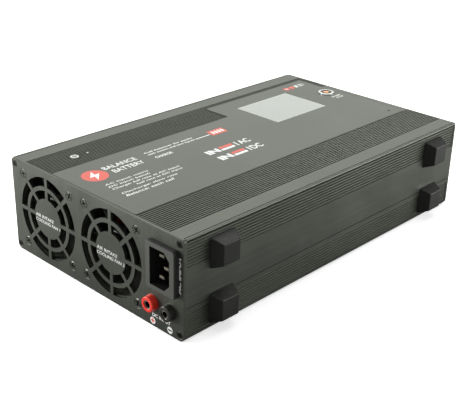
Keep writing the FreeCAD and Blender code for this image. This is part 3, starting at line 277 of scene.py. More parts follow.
# ---- materials -------------------------------------------------------------------------
class Finish(Graph):
    """One material with one Principled shader, whose plain values are set on its own sockets."""

    def __init__(self, name, **plain):
        self.material = bpy.data.materials.new(name)
        self.material.use_nodes = True
        super().__init__(self.material.node_tree)
        self.shader = self.tree.nodes["Principled BSDF"]
        for label, value in plain.items():
            self.shader.inputs[label.replace("_", " ")].default_value = value

    def effect(self, group, **values):
        node = self.add("ShaderNodeGroup", node_tree=group)
        for label, value in values.items():
            node.inputs[label].default_value = value
        return node.outputs

    def drive(self, label, value):
        self.feed(self.shader.inputs[label], value)

    def finished(self, surface, rough, depth):
        """The material, with roughness from the tone and a bump from the height of a surface."""
        self.drive("Roughness", self.span(surface["Tone"], 0.0, 1.0, *rough))
        self.drive("Normal", self.bump(surface["Height"], depth))
        return self.material

    def dusted(self, colour, amount):
        # Dust lightens faces that look up, and on the feet this also acts as painted top light.
        top_dust_and_light = self.effect(DUST_AND_TOP_LIGHT, Amount=amount)["Dust_and_light"]
        return self.mix(top_dust_and_light, colour, paint(176, 174, 166))


CASE_GREYS = (paint(75, 78, 71), paint(97, 100, 92))
# Painted shade for the case's top grooves and painted light for its side grooves.
PAINTED_GROOVE_SHADE = paint(26, 28, 24)
PAINTED_SIDE_GROOVE_LIGHT = paint(108, 112, 102)
ALONG_X = (0.012, 1.0, 1.0)
ALONG_Z = (1.0, 1.0, 0.012)
ALONG_Y = (1.0, 0.012, 1.0)


def drawn_metal(name, dark, light, worn_and_highlit, stretch=ALONG_X, metallic=0.9, rough=(0.34, 0.46),
                depth=0.006 * MM, wear_and_highlight=0.5, wear_and_highlight_width=0.3 * MM, top_dust_and_light=0.0, lines=1500.0):
    """Extruded, rolled or brushed metal, plain or anodised."""
    f = Finish(name, Metallic=metallic)
    surface = f.effect(DRAWN_LINES, Stretch=stretch, Lines=lines)
    edge = f.effect(EDGE_WEAR_AND_HIGHLIGHT, Width=wear_and_highlight_width, Amount=wear_and_highlight)["Edge"]
    colour = f.mix(edge, f.mix(surface["Tone"], dark, light), worn_and_highlit)
    f.drive("Base Color", f.dusted(colour, top_dust_and_light) if top_dust_and_light else colour)
    return f.finished(surface, rough, depth)


def turned_metal(name, dark, light, centre, across, rough=(0.18, 0.32), depth=0.004 * MM):
    """Metal finished on a lathe."""
    f = Finish(name, Metallic=1.0)
    surface = f.effect(TURNED_MARKS, Centre=centre, Across=across)
    edge = f.effect(EDGE_WEAR_AND_HIGHLIGHT, Width=0.2 * MM, Amount=0.4)["Edge"]
    f.drive("Base Color", f.mix(edge, f.mix(surface["Tone"], dark, light), light))
    return f.finished(surface, rough, depth)


def moulded(name, dark, light, rough=(0.42, 0.6), depth=0.012 * MM, grain=2500.0, wear_and_highlight=0.25, top_dust_and_light=0.0,
            **plain):
    """Moulded plastic or rubber."""
    f = Finish(name, **plain)
    surface = f.effect(MOULDED_GRAIN, Grain=grain)
    edge = f.effect(EDGE_WEAR_AND_HIGHLIGHT, Width=0.35 * MM, Amount=wear_and_highlight)["Edge"]
    pale = tuple(min(1.0, c * 1.8 + 0.01) for c in light[:3]) + (1.0,)
    colour = f.mix(edge, f.mix(surface["Tone"], dark, light), pale)
    f.drive("Base Color", f.dusted(colour, top_dust_and_light) if top_dust_and_light else colour)
    return f.finished(surface, rough, depth)


def anodised_case():
    """Extruded, anodised aluminium, with painted shade darkening its top grooves and painted light making
    its side grooves paler.
    """
    f = Finish("anodised_case", Metallic=0.85)
    surface = f.effect(DRAWN_LINES, Stretch=ALONG_X, Lines=800.0)
    edges = {"Low": tuple(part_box("lower_shell")[0]), "High": tuple(CASE_HIGH), "Lower edge": 4.1 * MM,
             "Upper edge": 0.9 * MM}
    depth = f.effect(GROOVE_DEPTH, **edges)
    colour = f.mix(surface["Tone"], *CASE_GREYS)
    # Painted shade down in the top grooves and painted light in the side grooves, set by depth under the
    # faces.
    for face, grey in (("Flat", PAINTED_GROOVE_SHADE), ("Side", PAINTED_SIDE_GROOVE_LIGHT)):
        colour = f.mix(f.span(depth[face], 0.08 * MM, 0.5 * MM), colour, grey)
    f.drive("Base Color", f.dusted(colour, 0.05))
    return f.finished(surface, (0.36, 0.46), 0.004 * MM)


def inlet_plastic():
    """The mains inlet: black plastic with its front face painted a satin grey as a painted sheen, round a
    black well.
    """
    f = Finish("inlet_plastic")
    surface = f.effect(MOULDED_GRAIN, Grain=2500.0)
    along = f.axes(f.object_place())["X"]
    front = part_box("ac_inlet_body")[0].x
    behind = f.span(along, front + 0.05 * MM, front + 0.2 * MM)
    # The grey front face is a painted sheen. The well keeps the plastic's own black.
    face = f.mix(surface["Tone"], paint(70, 72, 67), paint(80, 82, 76))
    well = f.mix(surface["Tone"], paint(24, 24, 23), paint(32, 32, 31))
    f.drive("Base Color", f.mix(behind, face, well))
    return f.finished(surface, (0.34, 0.48), 0.01 * MM)


def amber_lens():
    """A frosted amber lens with a dark moulded rim."""
    f = Finish("amber_lens", Coat_Weight=0.2, Coat_Roughness=0.1)
    surface = f.effect(MOULDED_GRAIN, Grain=2500.0)
    across = f.vector("SUBTRACT", f.object_place(), tuple(BUTTON_CENTRE))
    flat = f.vector("MULTIPLY", across, (1.0, 1.0, 0.0))
    rim = f.span(f.vector("DOT_PRODUCT", flat, flat), (2.25 * MM) ** 2, (2.5 * MM) ** 2)
    amber = f.mix(surface["Tone"], paint(228, 140, 66), paint(242, 166, 96))
    f.drive("Base Color", f.mix(rim, amber, paint(40, 42, 36)))
    return f.finished(surface, (0.3, 0.4), 0.004 * MM)


def label_film():
    """Matt polyester, printed grey on its back, with a faint orange peel."""
    f = Finish("label_film", Metallic=0.25, Coat_Weight=0.12, Coat_Roughness=0.35)
    surface = f.effect(MOULDED_GRAIN, Grain=3200.0, Flow=18.0)
    lines = f.effect(DRAWN_LINES, Stretch=ALONG_X, Clouds=9.0)
    colour = f.mix(surface["Tone"], paint(61, 65, 56), paint(67, 71, 61))
    f.drive("Base Color", f.dusted(f.mix(lines["Tone"], colour, paint(69, 73, 63)), 0.05))
    return f.finished(surface, (0.36, 0.44), 0.004 * MM)


def window_acrylic():
    """The bonded window: a pale display seen through a clear, hard-coated pane."""
    f = Finish("window_acrylic", Coat_Weight=1.0, Coat_Roughness=0.06, Coat_IOR=1.49)
    low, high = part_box("lcd_window")
    place = f.object_place()
    axes = f.axes(place)
    border = 3.6 * MM
    inside_x = f.times(f.span(axes[0], low.x + border, low.x + border + 0.3 * MM),
                      f.span(axes[0], high.x - border - 0.3 * MM, high.x - border, 1.0, 0.0))
    inside_y = f.times(f.span(axes[1], low.y + border, low.y + border + 0.3 * MM),
                      f.span(axes[1], high.y - border - 0.3 * MM, high.y - border, 1.0, 0.0))
    active = f.times(inside_x, inside_y)
    cells = f.add("ShaderNodeTexWave", {"Vector": place, "Scale": 600.0, "Distortion": 0.0},
                  bands_direction="X").outputs["Fac"]
    clouds = f.noise(place, 30.0, 2.0)
    shade = f.math("ADD", f.times(cells, 0.4), f.times(clouds, 0.6))
    screen = f.mix(f.span(shade, 0.2, 0.8), paint(96, 102, 96), paint(101, 107, 101))
    f.drive("Base Color", f.mix(active, paint(104, 110, 104), screen))
    f.drive("Roughness", f.span(f.noise(place, 60.0, 3.0), 0.2, 0.8, 0.26, 0.30))
    return f.material


def circuit_board():
    """Green solder mask over copper tracks, with white print and tinned pads."""
    f = Finish("circuit_board", Coat_Weight=0.3, Coat_Roughness=0.2)
    place = f.object_place()
    tracks = f.add("ShaderNodeTexBrick", {"Vector": place, "Scale": 120.0, "Mortar Size": 0.06,
                                          "Brick Width": 0.9, "Row Height": 0.33,
                                          "Color1": (0.0, 0.0, 0.0, 1.0), "Color2": (0.0, 0.0, 0.0, 1.0),
                                          "Mortar": (1.0, 1.0, 1.0, 1.0)}).outputs["Color"]
    pads = f.add("ShaderNodeTexVoronoi", {"Vector": place, "Scale": 260.0, "Randomness": 0.6})
    pad = f.span(pads.outputs["Distance"], 0.16, 0.2, 1.0, 0.0)
    mask = f.mix(f.noise(place, 45.0, 3.0), paint(8, 62, 34), paint(14, 82, 46))
    green = f.mix(f.times(tracks, 0.8), mask, paint(30, 120, 66))
    f.drive("Base Color", f.mix(pad, green, paint(190, 190, 182)))
    f.drive("Metallic", f.times(pad, 0.9))
    f.drive("Roughness", f.span(f.noise(place, 300.0, 2.0), 0.3, 0.7, 0.28, 0.42))
    f.drive("Normal", f.bump(f.math("ADD", tracks, pad), 0.03 * MM))
    return f.material


def capacitor_sleeve():
    """Shrunk sleeve with a pale stripe, and a bare scored top."""
    f = Finish("capacitor_sleeve", Coat_Weight=0.4, Coat_Roughness=0.15)
    surface = f.effect(MOULDED_GRAIN, Grain=1200.0)
    place = f.object_place()
    axes = f.axes(place)
    stripe = f.span(f.math("SINE", f.times(axes[0], 370.0)), 0.93, 0.95)
    top = f.upward(0.9, 0.95)
    sleeve = f.mix(surface["Tone"], paint(20, 24, 40), paint(30, 36, 58))
    wrapped = f.mix(stripe, sleeve, paint(160, 165, 170))
    f.drive("Base Color", f.mix(top, wrapped, paint(190, 190, 188)))
    f.drive("Metallic", top)
    return f.finished(surface, (0.25, 0.4), 0.01 * MM)


def coil_tape():
    """Yellow polyester tape, wound in overlapping turns."""
    f = Finish("coil_tape", Coat_Weight=0.5, Coat_Roughness=0.12)
    place = f.object_place()
    wraps = f.add("ShaderNodeTexWave", {"Vector": place, "Scale": 55.0, "Distortion": 0.6, "Detail": 1.0},
                  bands_direction="Z", wave_profile="SAW").outputs["Fac"]
    mottle = f.noise(place, 120.0, 3.0)
    f.drive("Base Color", f.mix(f.times(wraps, mottle), paint(206, 152, 28), paint(238, 196, 70)))
    f.drive("Roughness", f.span(mottle, 0.3, 0.7, 0.22, 0.4))
    f.drive("Normal", f.bump(wraps, 0.05 * MM))
    return f.material


def lead_insulation():
    """Silicone lead cover: red on the positive side of each end, black elsewhere."""
    f = Finish("lead_insulation")
    surface = f.effect(MOULDED_GRAIN, Grain=1800.0)
    place = f.object_place()
    axes = f.axes(place)
    input_red = f.times(f.math("LESS_THAN", axes[0], 0.0),
                       f.math("GREATER_THAN", axes[1], (RED_INPUT.y + BLACK_INPUT.y) / 2))
    output_red = f.times(f.math("GREATER_THAN", axes[0], 0.0),
                        f.math("LESS_THAN", axes[1], (RED_OUTPUT.y + BLACK_OUTPUT.y) / 2))
    positive = f.math("MAXIMUM", input_red, output_red)
    black = f.mix(surface["Tone"], paint(24, 24, 24), paint(36, 36, 36))
    red = f.mix(surface["Tone"], paint(150, 20, 16), paint(186, 30, 24))
    f.drive("Base Color", f.mix(positive, black, red))
    return f.finished(surface, (0.4, 0.55), 0.02 * MM)


def fuse_glass():
    """Clear glass tube with faint draw lines."""
    f = Finish("fuse_glass", Transmission_Weight=0.9, IOR=1.5)
    surface = f.effect(DRAWN_LINES, Stretch=ALONG_X, Lines=600.0)
    f.drive("Base Color", f.mix(surface["Tone"], paint(222, 230, 228), paint(240, 244, 242)))
    return f.finished(surface, (0.03, 0.12), 0.01 * MM)


def ferrite():
    """Sintered ferrite: dark, matt and slightly pitted."""
    return moulded("ferrite", paint(38, 38, 40), paint(62, 62, 64), rough=(0.55, 0.8), grain=1400.0,
                   depth=0.04 * MM)


def ink(name, dark, light):
    """Screen-printed ink, a little uneven, with a soft sheen."""
    f = Finish(name)
    surface = f.effect(MOULDED_GRAIN, Grain=2600.0, Flow=140.0)
    f.drive("Base Color", f.mix(surface["Tone"], dark, light))
    return f.finished(surface, (0.4, 0.55), 0.004 * MM)


def case_finishes():
    bare_and_highlit = paint(150, 152, 146)
    sink_dark, sink_light = paint(150, 152, 152), paint(188, 190, 190)
    steel_dark, steel_light = paint(120, 122, 120), paint(176, 178, 176)
    return {
        # The end plate's edges take the pale bare grey both as wear and as a painted highlight.
        "end_plate": drawn_metal("end_plate", *CASE_GREYS, bare_and_highlit, stretch=ALONG_Z, wear_and_highlight=0.55,
                                 rough=(0.38, 0.5), lines=900.0),
        "sink_aluminium": drawn_metal("sink_aluminium", sink_dark, sink_light, bare_and_highlit, top_dust_and_light=0.2),
        "steel_sheet": drawn_metal("steel_sheet", steel_dark, steel_light, bare_and_highlit, stretch=ALONG_Y,
                                   metallic=1.0, rough=(0.25, 0.4)),
    }


def turned_finishes():
    button, button_across = tuple(BUTTON_CENTRE), (1.0, 1.0, 0.0)
    fan_across = (0.0, 1.0, 1.0)
    fan = tuple(FAN_CENTRES[0])
    return {
        "black_screw": turned_metal("black_screw", paint(44, 45, 42), paint(70, 72, 67), fan, fan_across,
                                    rough=(0.3, 0.5)),
        "grey_screw": turned_metal("grey_screw", paint(78, 80, 75), paint(104, 106, 100), fan, fan_across,
                                   rough=(0.34, 0.5)),
        "bright_screw": turned_metal("bright_screw", paint(150, 151, 148), paint(205, 206, 202),
                                     tuple(middle_of("top_fasteners")), button_across),
        "chromed_ring": turned_metal("chromed_ring", paint(176, 178, 175), paint(204, 206, 203), button,
                                     button_across, rough=(0.22, 0.32), depth=0.002 * MM),
        "ground_steel": turned_metal("ground_steel", paint(150, 152, 154), paint(200, 202, 204), fan,
                                     fan_across, rough=(0.12, 0.25)),
        "bearing_bronze": turned_metal("bearing_bronze", paint(140, 96, 50), paint(184, 136, 80), fan,
                                       fan_across, rough=(0.3, 0.45)),
        "winding_copper": turned_metal("winding_copper", paint(150, 74, 36), paint(214, 122, 74), fan,
                                       fan_across, rough=(0.22, 0.36), depth=0.02 * MM),
        "plated_contact": turned_metal("plated_contact", paint(146, 144, 134), paint(196, 193, 182),
                                       tuple(RED_INPUT), fan_across, rough=(0.16, 0.28)),
        # A darker copy of the plated contacts, as painted shade for the pins down in the inlet's well.
        "inlet_pin": turned_metal("inlet_pin", paint(112, 108, 94), paint(168, 163, 146),
                                  tuple(middle_of("ac_inlet_pins")), fan_across, rough=(0.2, 0.32)),
    }


def moulded_finishes():
    return {
        # The feet's dust also stands in for light on their top faces, as painted top light.
        "foot_rubber": moulded("foot_rubber", paint(17, 19, 15), paint(27, 29, 24), rough=(0.4, 0.54),
                               depth=0.03 * MM, grain=1500.0, top_dust_and_light=0.08, wear_and_highlight=0.3, Specular_IOR_Level=0.35),
        "black_plastic": moulded("black_plastic", paint(16, 16, 16), paint(30, 30, 30)),
        "button_black": moulded("button_black", paint(14, 14, 14), paint(26, 26, 26), rough=(0.3, 0.42)),
        "fan_plastic": moulded("fan_plastic", paint(32, 33, 28), paint(52, 54, 46), rough=(0.35, 0.5),
                               top_dust_and_light=0.25),
        "socket_red": moulded("socket_red", paint(226, 44, 30), paint(240, 62, 46), rough=(0.28, 0.4),
                              depth=0.008 * MM, Coat_Weight=0.2, Coat_Roughness=0.2),
        "socket_black": moulded("socket_black", paint(28, 28, 26), paint(42, 42, 39), rough=(0.3, 0.42),
                                depth=0.008 * MM, Coat_Weight=0.2, Coat_Roughness=0.2),
        "header_nylon": moulded("header_nylon", paint(206, 202, 188), paint(232, 229, 216)),
        "insulation_film": moulded("insulation_film", paint(172, 166, 140), paint(206, 200, 176),
                                   rough=(0.2, 0.34), depth=0.01 * MM),
        "display_glass": moulded("display_glass", paint(158, 165, 156), paint(178, 184, 175),
                                 rough=(0.06, 0.14), depth=0.001 * MM, Coat_Weight=1.0),
    }


def all_finishes():
    finishes = {**case_finishes(), **turned_finishes(), **moulded_finishes()}
    for build in (anodised_case, inlet_plastic, amber_lens, label_film, window_acrylic, circuit_board,
                  capacitor_sleeve, coil_tape, lead_insulation, fuse_glass, ferrite):
        finishes[build.__name__] = build()
    return finishes


FINISHES = all_finishes()
WHITE_INK = ink("white_ink", paint(226, 228, 224), paint(246, 247, 244))
RED_INK = ink("red_ink", paint(208, 84, 70), paint(222, 98, 82))
DARK_INK = ink("dark_ink", paint(18, 18, 18), paint(34, 34, 34))


# The inlet's body takes the finish with its painted sheen, and its pins take the one with their painted
# shade.
INLET_FINISHES = {"ac_inlet_body": "inlet_plastic", "ac_inlet_pins": "inlet_pin"}


def dress_cad_nodes():
    """Gives each CAD node the finish of its material slot in the record, except the inlet's body and pins,
    which take the finishes with painted sheen and painted shade.
    """
    slots = {part["node"]: part["material_slot"] for part in frame["record"]["subparts"]}
    for name, piece in NODES.items():
        for place in piece.material_slots:
            place.material = FINISHES[INLET_FINISHES.get(name, slots[name])]


# ---- printed graphics ------------------------------------------------------------------
INK = 0.02 * MM
DISC_SIDES = 40


def facing(right, up, origin):
    """The matrix of a printed face, from where its right and its up point."""
    out = right.cross(up)
    columns = [right, up, out, origin]
    return Matrix([[column[row] for column in columns] for row in range(3)] + [[0, 0, 0, 1]])


TOP_FACE = facing(Vector((1, 0, 0)), Vector((0, 1, 0)), Vector((0, 0, LABEL_TOP)))
FAN_FACE = facing(Vector((0, -1, 0)), Vector((0, 0, 1)), Vector((FAN_FACE_X, 0, 0)))
OUTPUT_FACE = facing(Vector((0, 1, 0)), Vector((0, 0, 1)), Vector((OUTPUT_FACE_X, 0, 0)))


class Print:
    """Thin shapes in one ink on one face; places and sizes are in millimetres on that face."""

    def __init__(self, name, face, finish, layer=0):
        self.name = name
        self.face = face
        self.finish = finish
        self.low = (layer - 0.5) * INK
        self.high = (layer + 1) * INK
        self.shapes = bmesh.new()

    def outline(self, points):
        """A closed outline, drawn counter-clockwise."""
        lower = [self.shapes.verts.new((u * MM, v * MM, self.low)) for u, v in points]
        upper = [self.shapes.verts.new((u * MM, v * MM, self.high)) for u, v in points]
        self.shapes.faces.new(upper)
        self.shapes.faces.new(lower[::-1])
        count = len(points)
        for i in range(count):
            j = (i + 1) % count
            self.shapes.faces.new((lower[i], lower[j], upper[j], upper[i]))

    def bar(self, left, bottom, width, height, slant=0.0):
        lean = slant * height
        self.outline([(left, bottom), (left + width, bottom), (left + width + lean, bottom + height),
                      (left + lean, bottom + height)])

    def disc(self, u, v, radius, sides=DISC_SIDES):
        angles = [2 * math.pi * i / sides for i in range(sides)]
        self.outline([(u + radius * math.cos(a), v + radius * math.sin(a)) for a in angles])

    def word(self, text, left, bottom, width, height, slant=0.0, weight=0.0, turned=False):
        """A word scaled to a width and a height; turned stands it up, reading upwards."""
        curve = bpy.data.curves.new("lettering", "FONT")
        curve.body = text
        curve.shear = slant
        curve.offset = weight
        curve.extrude = 0.1
        curve.resolution_u = 4
        holder = bpy.data.objects.new("lettering", curve)
        mesh = bpy.data.meshes.new_from_object(holder)
        low = [min(vertex.co[axis] for vertex in mesh.vertices) for axis in range(3)]
        high = [max(vertex.co[axis] for vertex in mesh.vertices) for axis in range(3)]
        for vertex in mesh.vertices:
            along = (vertex.co.x - low[0]) / (high[0] - low[0]) * width
            tall = (vertex.co.y - low[1]) / (high[1] - low[1]) * height
            out = self.high if vertex.co.z > 0 else self.low
            if turned:
                along, tall = -tall, along
            vertex.co = ((left + along) * MM, (bottom + tall) * MM, out)
        self.shapes.from_mesh(mesh)
        bpy.data.objects.remove(holder)
        bpy.data.curves.remove(curve)
        bpy.data.meshes.remove(mesh)

    def finish_piece(self):
        bmesh.ops.remove_doubles(self.shapes, verts=self.shapes.verts, dist=1e-8)
        self.shapes.transform(self.face)
        mesh = bpy.data.meshes.new(self.name)
        self.shapes.to_mesh(mesh)
        self.shapes.free()
        mesh.materials.append(self.finish)
        piece = bpy.data.objects.new(self.name, mesh)
        SCENE.collection.objects.link(piece)
        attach(piece, "case")


def printed(name, face, finish, layer=0, words=(), bars=(), discs=(), outlines=()):
    """One printed piece, from rows of what each of its shapes takes."""
    piece = Print(name, face, finish, layer)
    for shape, rows in ((piece.word, words), (piece.bar, bars), (piece.disc, discs),
                        (piece.outline, outlines)):
        for row in rows:
            shape(*row)
    piece.finish_piece()


# Rows of print. A word has its text, left, bottom, width, height, slant, extra weight and whether it
# is turned; a bar has its left, bottom, width, height and slant; a disc has its centre and radius.
BADGE_CENTRE, BADGE_RADIUS, BADGE_SIDES = (-122.0, 20.5), 9.0, 64
BOLT = ((1.6, 6.6), (-4.6, -1.0), (-0.9, -1.0), (-2.4, -6.8), (4.6, 1.4), (0.9, 1.4))
LABEL_WORDS = (
    ("BALANCE", -111.5, 23.2, 28.0, 5.0, 0.0, 0.01), ("BATTERY", -109.0, 15.4, 26.0, 5.2, 0.0, 0.01),
    ("Cell balancer for packs", -74.0, 26.4, 45.0, 2.6, 0.15, 0.02),
    ("with screen and two inputs", -74.0, 22.6, 44.0, 2.6, 0.15, 0.02),
    ("CHARGE", -73.0, 15.6, 15.0, 3.2, 0.0, 0.02),
    ("AC input: mains", -127.3, 2.6, 36.0, 2.7, 0.2, 0.01),
    ("DC input: bench", -127.3, -1.4, 34.0, 2.7, 0.2, 0.01),
    ("Charge: full rate at AC input", -127.3, -5.4, 56.5, 2.7, 0.2, 0.01),
    ("half rate at DC input", -111.0, -9.2, 39.5, 2.7, 0.2, 0.01),
    ("Discharge: slow rate", -127.3, -14.2, 46.5, 2.7, 0.2, 0.01),
    ("Balance: each cell", -127.3, -18.2, 40.0, 2.7, 0.2, 0.01))
HEADING_RULE = (-29.0, 23.3, 14.2, 0.9)
INPUT_ROWS = ((-4.8, "AC"), (-17.2, "DC"))
INPUT_WORDS = [word for bottom, supply in INPUT_ROWS
               for word in (("IN", -42.5, bottom, 11.5, 6.6, 0.0, 0.05),
                            (supply, -11.2, bottom, 10.2, 6.6, 0.0, 0.02))]
INPUT_BARS = [bar for bottom, _ in INPUT_ROWS
              for bar in ((-30.0, bottom, 12.5, 2.7, 0.2), (-14.6, bottom, 1.1, 6.6, 0.1))]
INPUT_FLAGS = [(-29.5, bottom + 3.5, 12.5, 3.1, 0.2) for bottom, _ in INPUT_ROWS]
CELL_FLAG = (-14.5, 20.5, 15.0, 8.5, 0.12)
CELL_LEFTS = (-11.9, -8.9, -5.9, -2.9)
CELL_BARS = [bar for left in CELL_LEFTS
             for bar in ((left, 22.6, 2.1, 3.8, 0.12), (left + 1.2, 26.8, 0.9, 0.7, 0.12))]
SCREEN_DISC, SCREEN_DASH = (107.6, 56.2, 2.9), (106.0, 55.7, 3.2, 1.0)
SCREEN_FLAG, SCREEN_BAR = (111.5, 53.6, 4.5, 5.0, 0.2), (117.6, 53.8, 2.6, 4.8, 0.2)
SCREEN_WORDS = (
    ("CELL", 121.6, 56.8, 8.0, 1.9, 0.2, 0.02), ("VIEW", 121.2, 53.8, 8.0, 1.9, 0.2, 0.02),
    ("START", 120.0, 16.4, 11.0, 2.4, 0.0, 0.02), ("STOP", 121.4, 12.8, 8.4, 2.4, 0.0, 0.02))
POLARITY_RADIUS = 2.3
PLUS_ARM, PLUS_WIDTH = 0.68 * POLARITY_RADIUS, 0.44 * POLARITY_RADIUS
MINUS_ARM, MINUS_WIDTH = 0.7 * POLARITY_RADIUS, 0.48 * POLARITY_RADIUS
HUB_WORDS = (("AIR INTAKE", 33.6, 20.0), ("COOLING FAN {}", 30.1, 26.6))
HUB_WORDS_LEFT = 13.4
INLET_WORDS = (("AC INPUT", 82.3, 32.0, 25.0, 2.6, 0.0, 0.07, True),
               ("DC INPUT", 57.0, 7.2, 16.0, 2.3, 0.0, 0.02))
INLET_DISCS_V, OUTPUT_DISCS_V = 3.9, 8.6
HEADER_ROWS, HEADER_HEIGHT = 5, 5.8
OUTPUT_WORD = ("OUTPUT", -67.0, 29.0, 14.0, 2.6, 0.0, 0.02)


def label_print():
    """All that is printed on the label, from the fan end to the button."""
    u, v = BADGE_CENTRE
    printed("badge_disc", TOP_FACE, RED_INK, discs=[(u, v, BADGE_RADIUS, BADGE_SIDES)])
    printed("badge_sign", TOP_FACE, WHITE_INK, 1, outlines=[([(u + du, v + dv) for du, dv in BOLT],)])
    printed("label_words", TOP_FACE, WHITE_INK, words=LABEL_WORDS, bars=[HEADING_RULE])
    printed("rating_white", TOP_FACE, WHITE_INK, words=INPUT_WORDS, bars=INPUT_BARS)
    printed("rating_red", TOP_FACE, RED_INK, bars=INPUT_FLAGS)
    printed("cell_flag", TOP_FACE, RED_INK, bars=[CELL_FLAG])
    printed("cell_row", TOP_FACE, WHITE_INK, 1, bars=CELL_BARS)
    printed("screen_mark_red", TOP_FACE, RED_INK, discs=[SCREEN_DISC], bars=[SCREEN_FLAG])
    printed("screen_mark_white", TOP_FACE, WHITE_INK, words=SCREEN_WORDS, bars=[SCREEN_BAR])
    printed("screen_mark_dot", TOP_FACE, WHITE_INK, 1, bars=[SCREEN_DASH])


def polarity_discs(name, face, red_u, black_u, v):
    """White discs with a red plus and a black minus."""
    printed(name + "_discs", face, WHITE_INK, discs=[(u, v, POLARITY_RADIUS) for u in (red_u, black_u)])
    half = PLUS_WIDTH / 2
    plus = [(red_u - PLUS_ARM, v - half, 2 * PLUS_ARM, PLUS_WIDTH)]
    plus += [(red_u - half, low, PLUS_WIDTH, PLUS_ARM - half) for low in (v + half, v - PLUS_ARM)]
    printed(name + "_plus", face, RED_INK, 1, bars=plus)
    minus = (black_u - MINUS_ARM, v - MINUS_WIDTH / 2, 2 * MINUS_ARM, MINUS_WIDTH)
    printed(name + "_minus", face, DARK_INK, 1, bars=[minus])


def fan_end_print():
    """Print on the fan end: notes on the hubs, the inputs' names and the polarity discs."""
    words = [(text.format(number), -centre.y / MM - HUB_WORDS_LEFT, bottom, width, 2.3, 0.15)
             for number, centre in enumerate(FAN_CENTRES, 1) for text, bottom, width in HUB_WORDS]
    printed("fan_end_words", FAN_FACE, WHITE_INK, words=[*words, *INLET_WORDS])
    polarity_discs("dc_input", FAN_FACE, -RED_INPUT.y / MM + 0.2, -BLACK_INPUT.y / MM, INLET_DISCS_V)


def output_end_print():
    """Print on the output end: cell counts beside the headers, names and polarity discs."""
    low, high = (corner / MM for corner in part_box("balance_headers"))
    pitch = (high.z - low.z - HEADER_HEIGHT) / (HEADER_ROWS - 1)
    words = [(str(HEADER_ROWS + 1 - row), high.y + 2.0, low.z + row * pitch + 1.3, 1.9, 3.0, 0.0, 0.02)
             for row in range(HEADER_ROWS)]
    heading = ("BALANCE", low.y + 2.0, high.z + 2.4, 15.0, 2.6, 0.0, 0.02)
    printed("output_end_words", OUTPUT_FACE, WHITE_INK, words=[*words, heading, OUTPUT_WORD])
    polarity_discs("output", OUTPUT_FACE, RED_OUTPUT.y / MM, BLACK_OUTPUT.y / MM, OUTPUT_DISCS_V)


# ---- repeated pieces -------------------------------------------------------------------
def place_tree_input(modifier, label, value):
    for socket in modifier.node_group.interface.items_tree:
        if socket.item_type == "SOCKET" and socket.in_out == "INPUT" and socket.name == label:
            modifier[socket.identifier] = value


def grow(name, tree, points, directions, values, body, replaced=()):
    """Runs a geometry tree on a set of points that face given ways, and keeps its plain mesh."""
    seeds = bpy.data.meshes.new(name)
    seeds.from_pydata([tuple(point) for point in points], [], [])
    facing_way = seeds.attributes.new("facing", "FLOAT_VECTOR", "POINT")
    for item, direction in zip(facing_way.data, directions):
        item.vector = direction
    piece = bpy.data.objects.new(name, seeds)
    SCENE.collection.objects.link(piece)
    modifier = piece.modifiers.new("shape", "NODES")
    modifier.node_group = tree
    for label, value in values.items():
        place_tree_input(modifier, label, value)
    bpy.context.view_layer.update()
    graph = bpy.context.evaluated_depsgraph_get()
    mesh = bpy.data.meshes.new_from_object(piece.evaluated_get(graph), depsgraph=graph)
    piece.modifiers.clear()
    piece.data = mesh
    bpy.data.meshes.remove(seeds)
    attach(piece, body)
    if replaced:
        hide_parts(*replaced)


GEOMETRY_OUT = {"Geometry": "NodeSocketGeometry"}
TREE_IN = {"Geometry": "NodeSocketGeometry", "Material": "NodeSocketMaterial"}


def instance_and_finish(g, given, result, shape, spin=None):
    """Puts a shape on every point, turned to face its way, and ends the tree."""
    way = g.add("GeometryNodeInputNamedAttribute", {"Name": "facing"}, data_type="FLOAT_VECTOR")
    rotation = g.made("FunctionNodeAlignRotationToVector", {"Vector": way.outputs["Attribute"]}, axis="Z")
    if spin is not None:
        turn = g.made("FunctionNodeAxisAngleToRotation", {"Axis": UP, "Angle": spin})
        rotation = g.made("FunctionNodeRotateRotation", {"Rotation": rotation, "Rotate By": turn},
                          rotation_space="LOCAL")
    placed = g.made("GeometryNodeInstanceOnPoints", {"Points": given.outputs["Geometry"],
                                                     "Instance": shape, "Rotation": rotation})
    real = g.made("GeometryNodeRealizeInstances", {"Geometry": placed})
    dressed = g.made("GeometryNodeSetMaterial", {"Geometry": real, "Material": given.outputs["Material"]})
    g.feed(result.inputs["Geometry"], dressed)


def cone(g, sides, top, bottom, depth, z):
    """A closed frustum that stands on z."""
    shape = g.made("GeometryNodeMeshCone", {"Vertices": sides, "Radius Top": top,
                                            "Radius Bottom": bottom, "Depth": depth})
    return g.made("GeometryNodeTransform", {"Geometry": shape, "Translation": g.xyz(z=z)})


HEAD_SIDES, SHANK_SIDES, PIT_SIDES = 36, 16, 12
CROWN_DEPTH, FACE_SINK, THREAD_PITCH = 0.3 * MM, 0.05 * MM, 0.7 * MM
# Shares of the head's radius, of its depth, of the shank's radius and of the thread's pitch.
CROWN_TOP, SLOT_ARM, SLOT_WIDTH, PIT_TOP, PIT_FLOOR = 0.86, 1.4, 0.32, 0.34, 0.12
SLOT_DEPTH, PIT_DEPTH = 1.9, 0.6
SHANK_TIP, RIDGE, RIDGE_WIDTH = 0.9, 1.14, 0.45


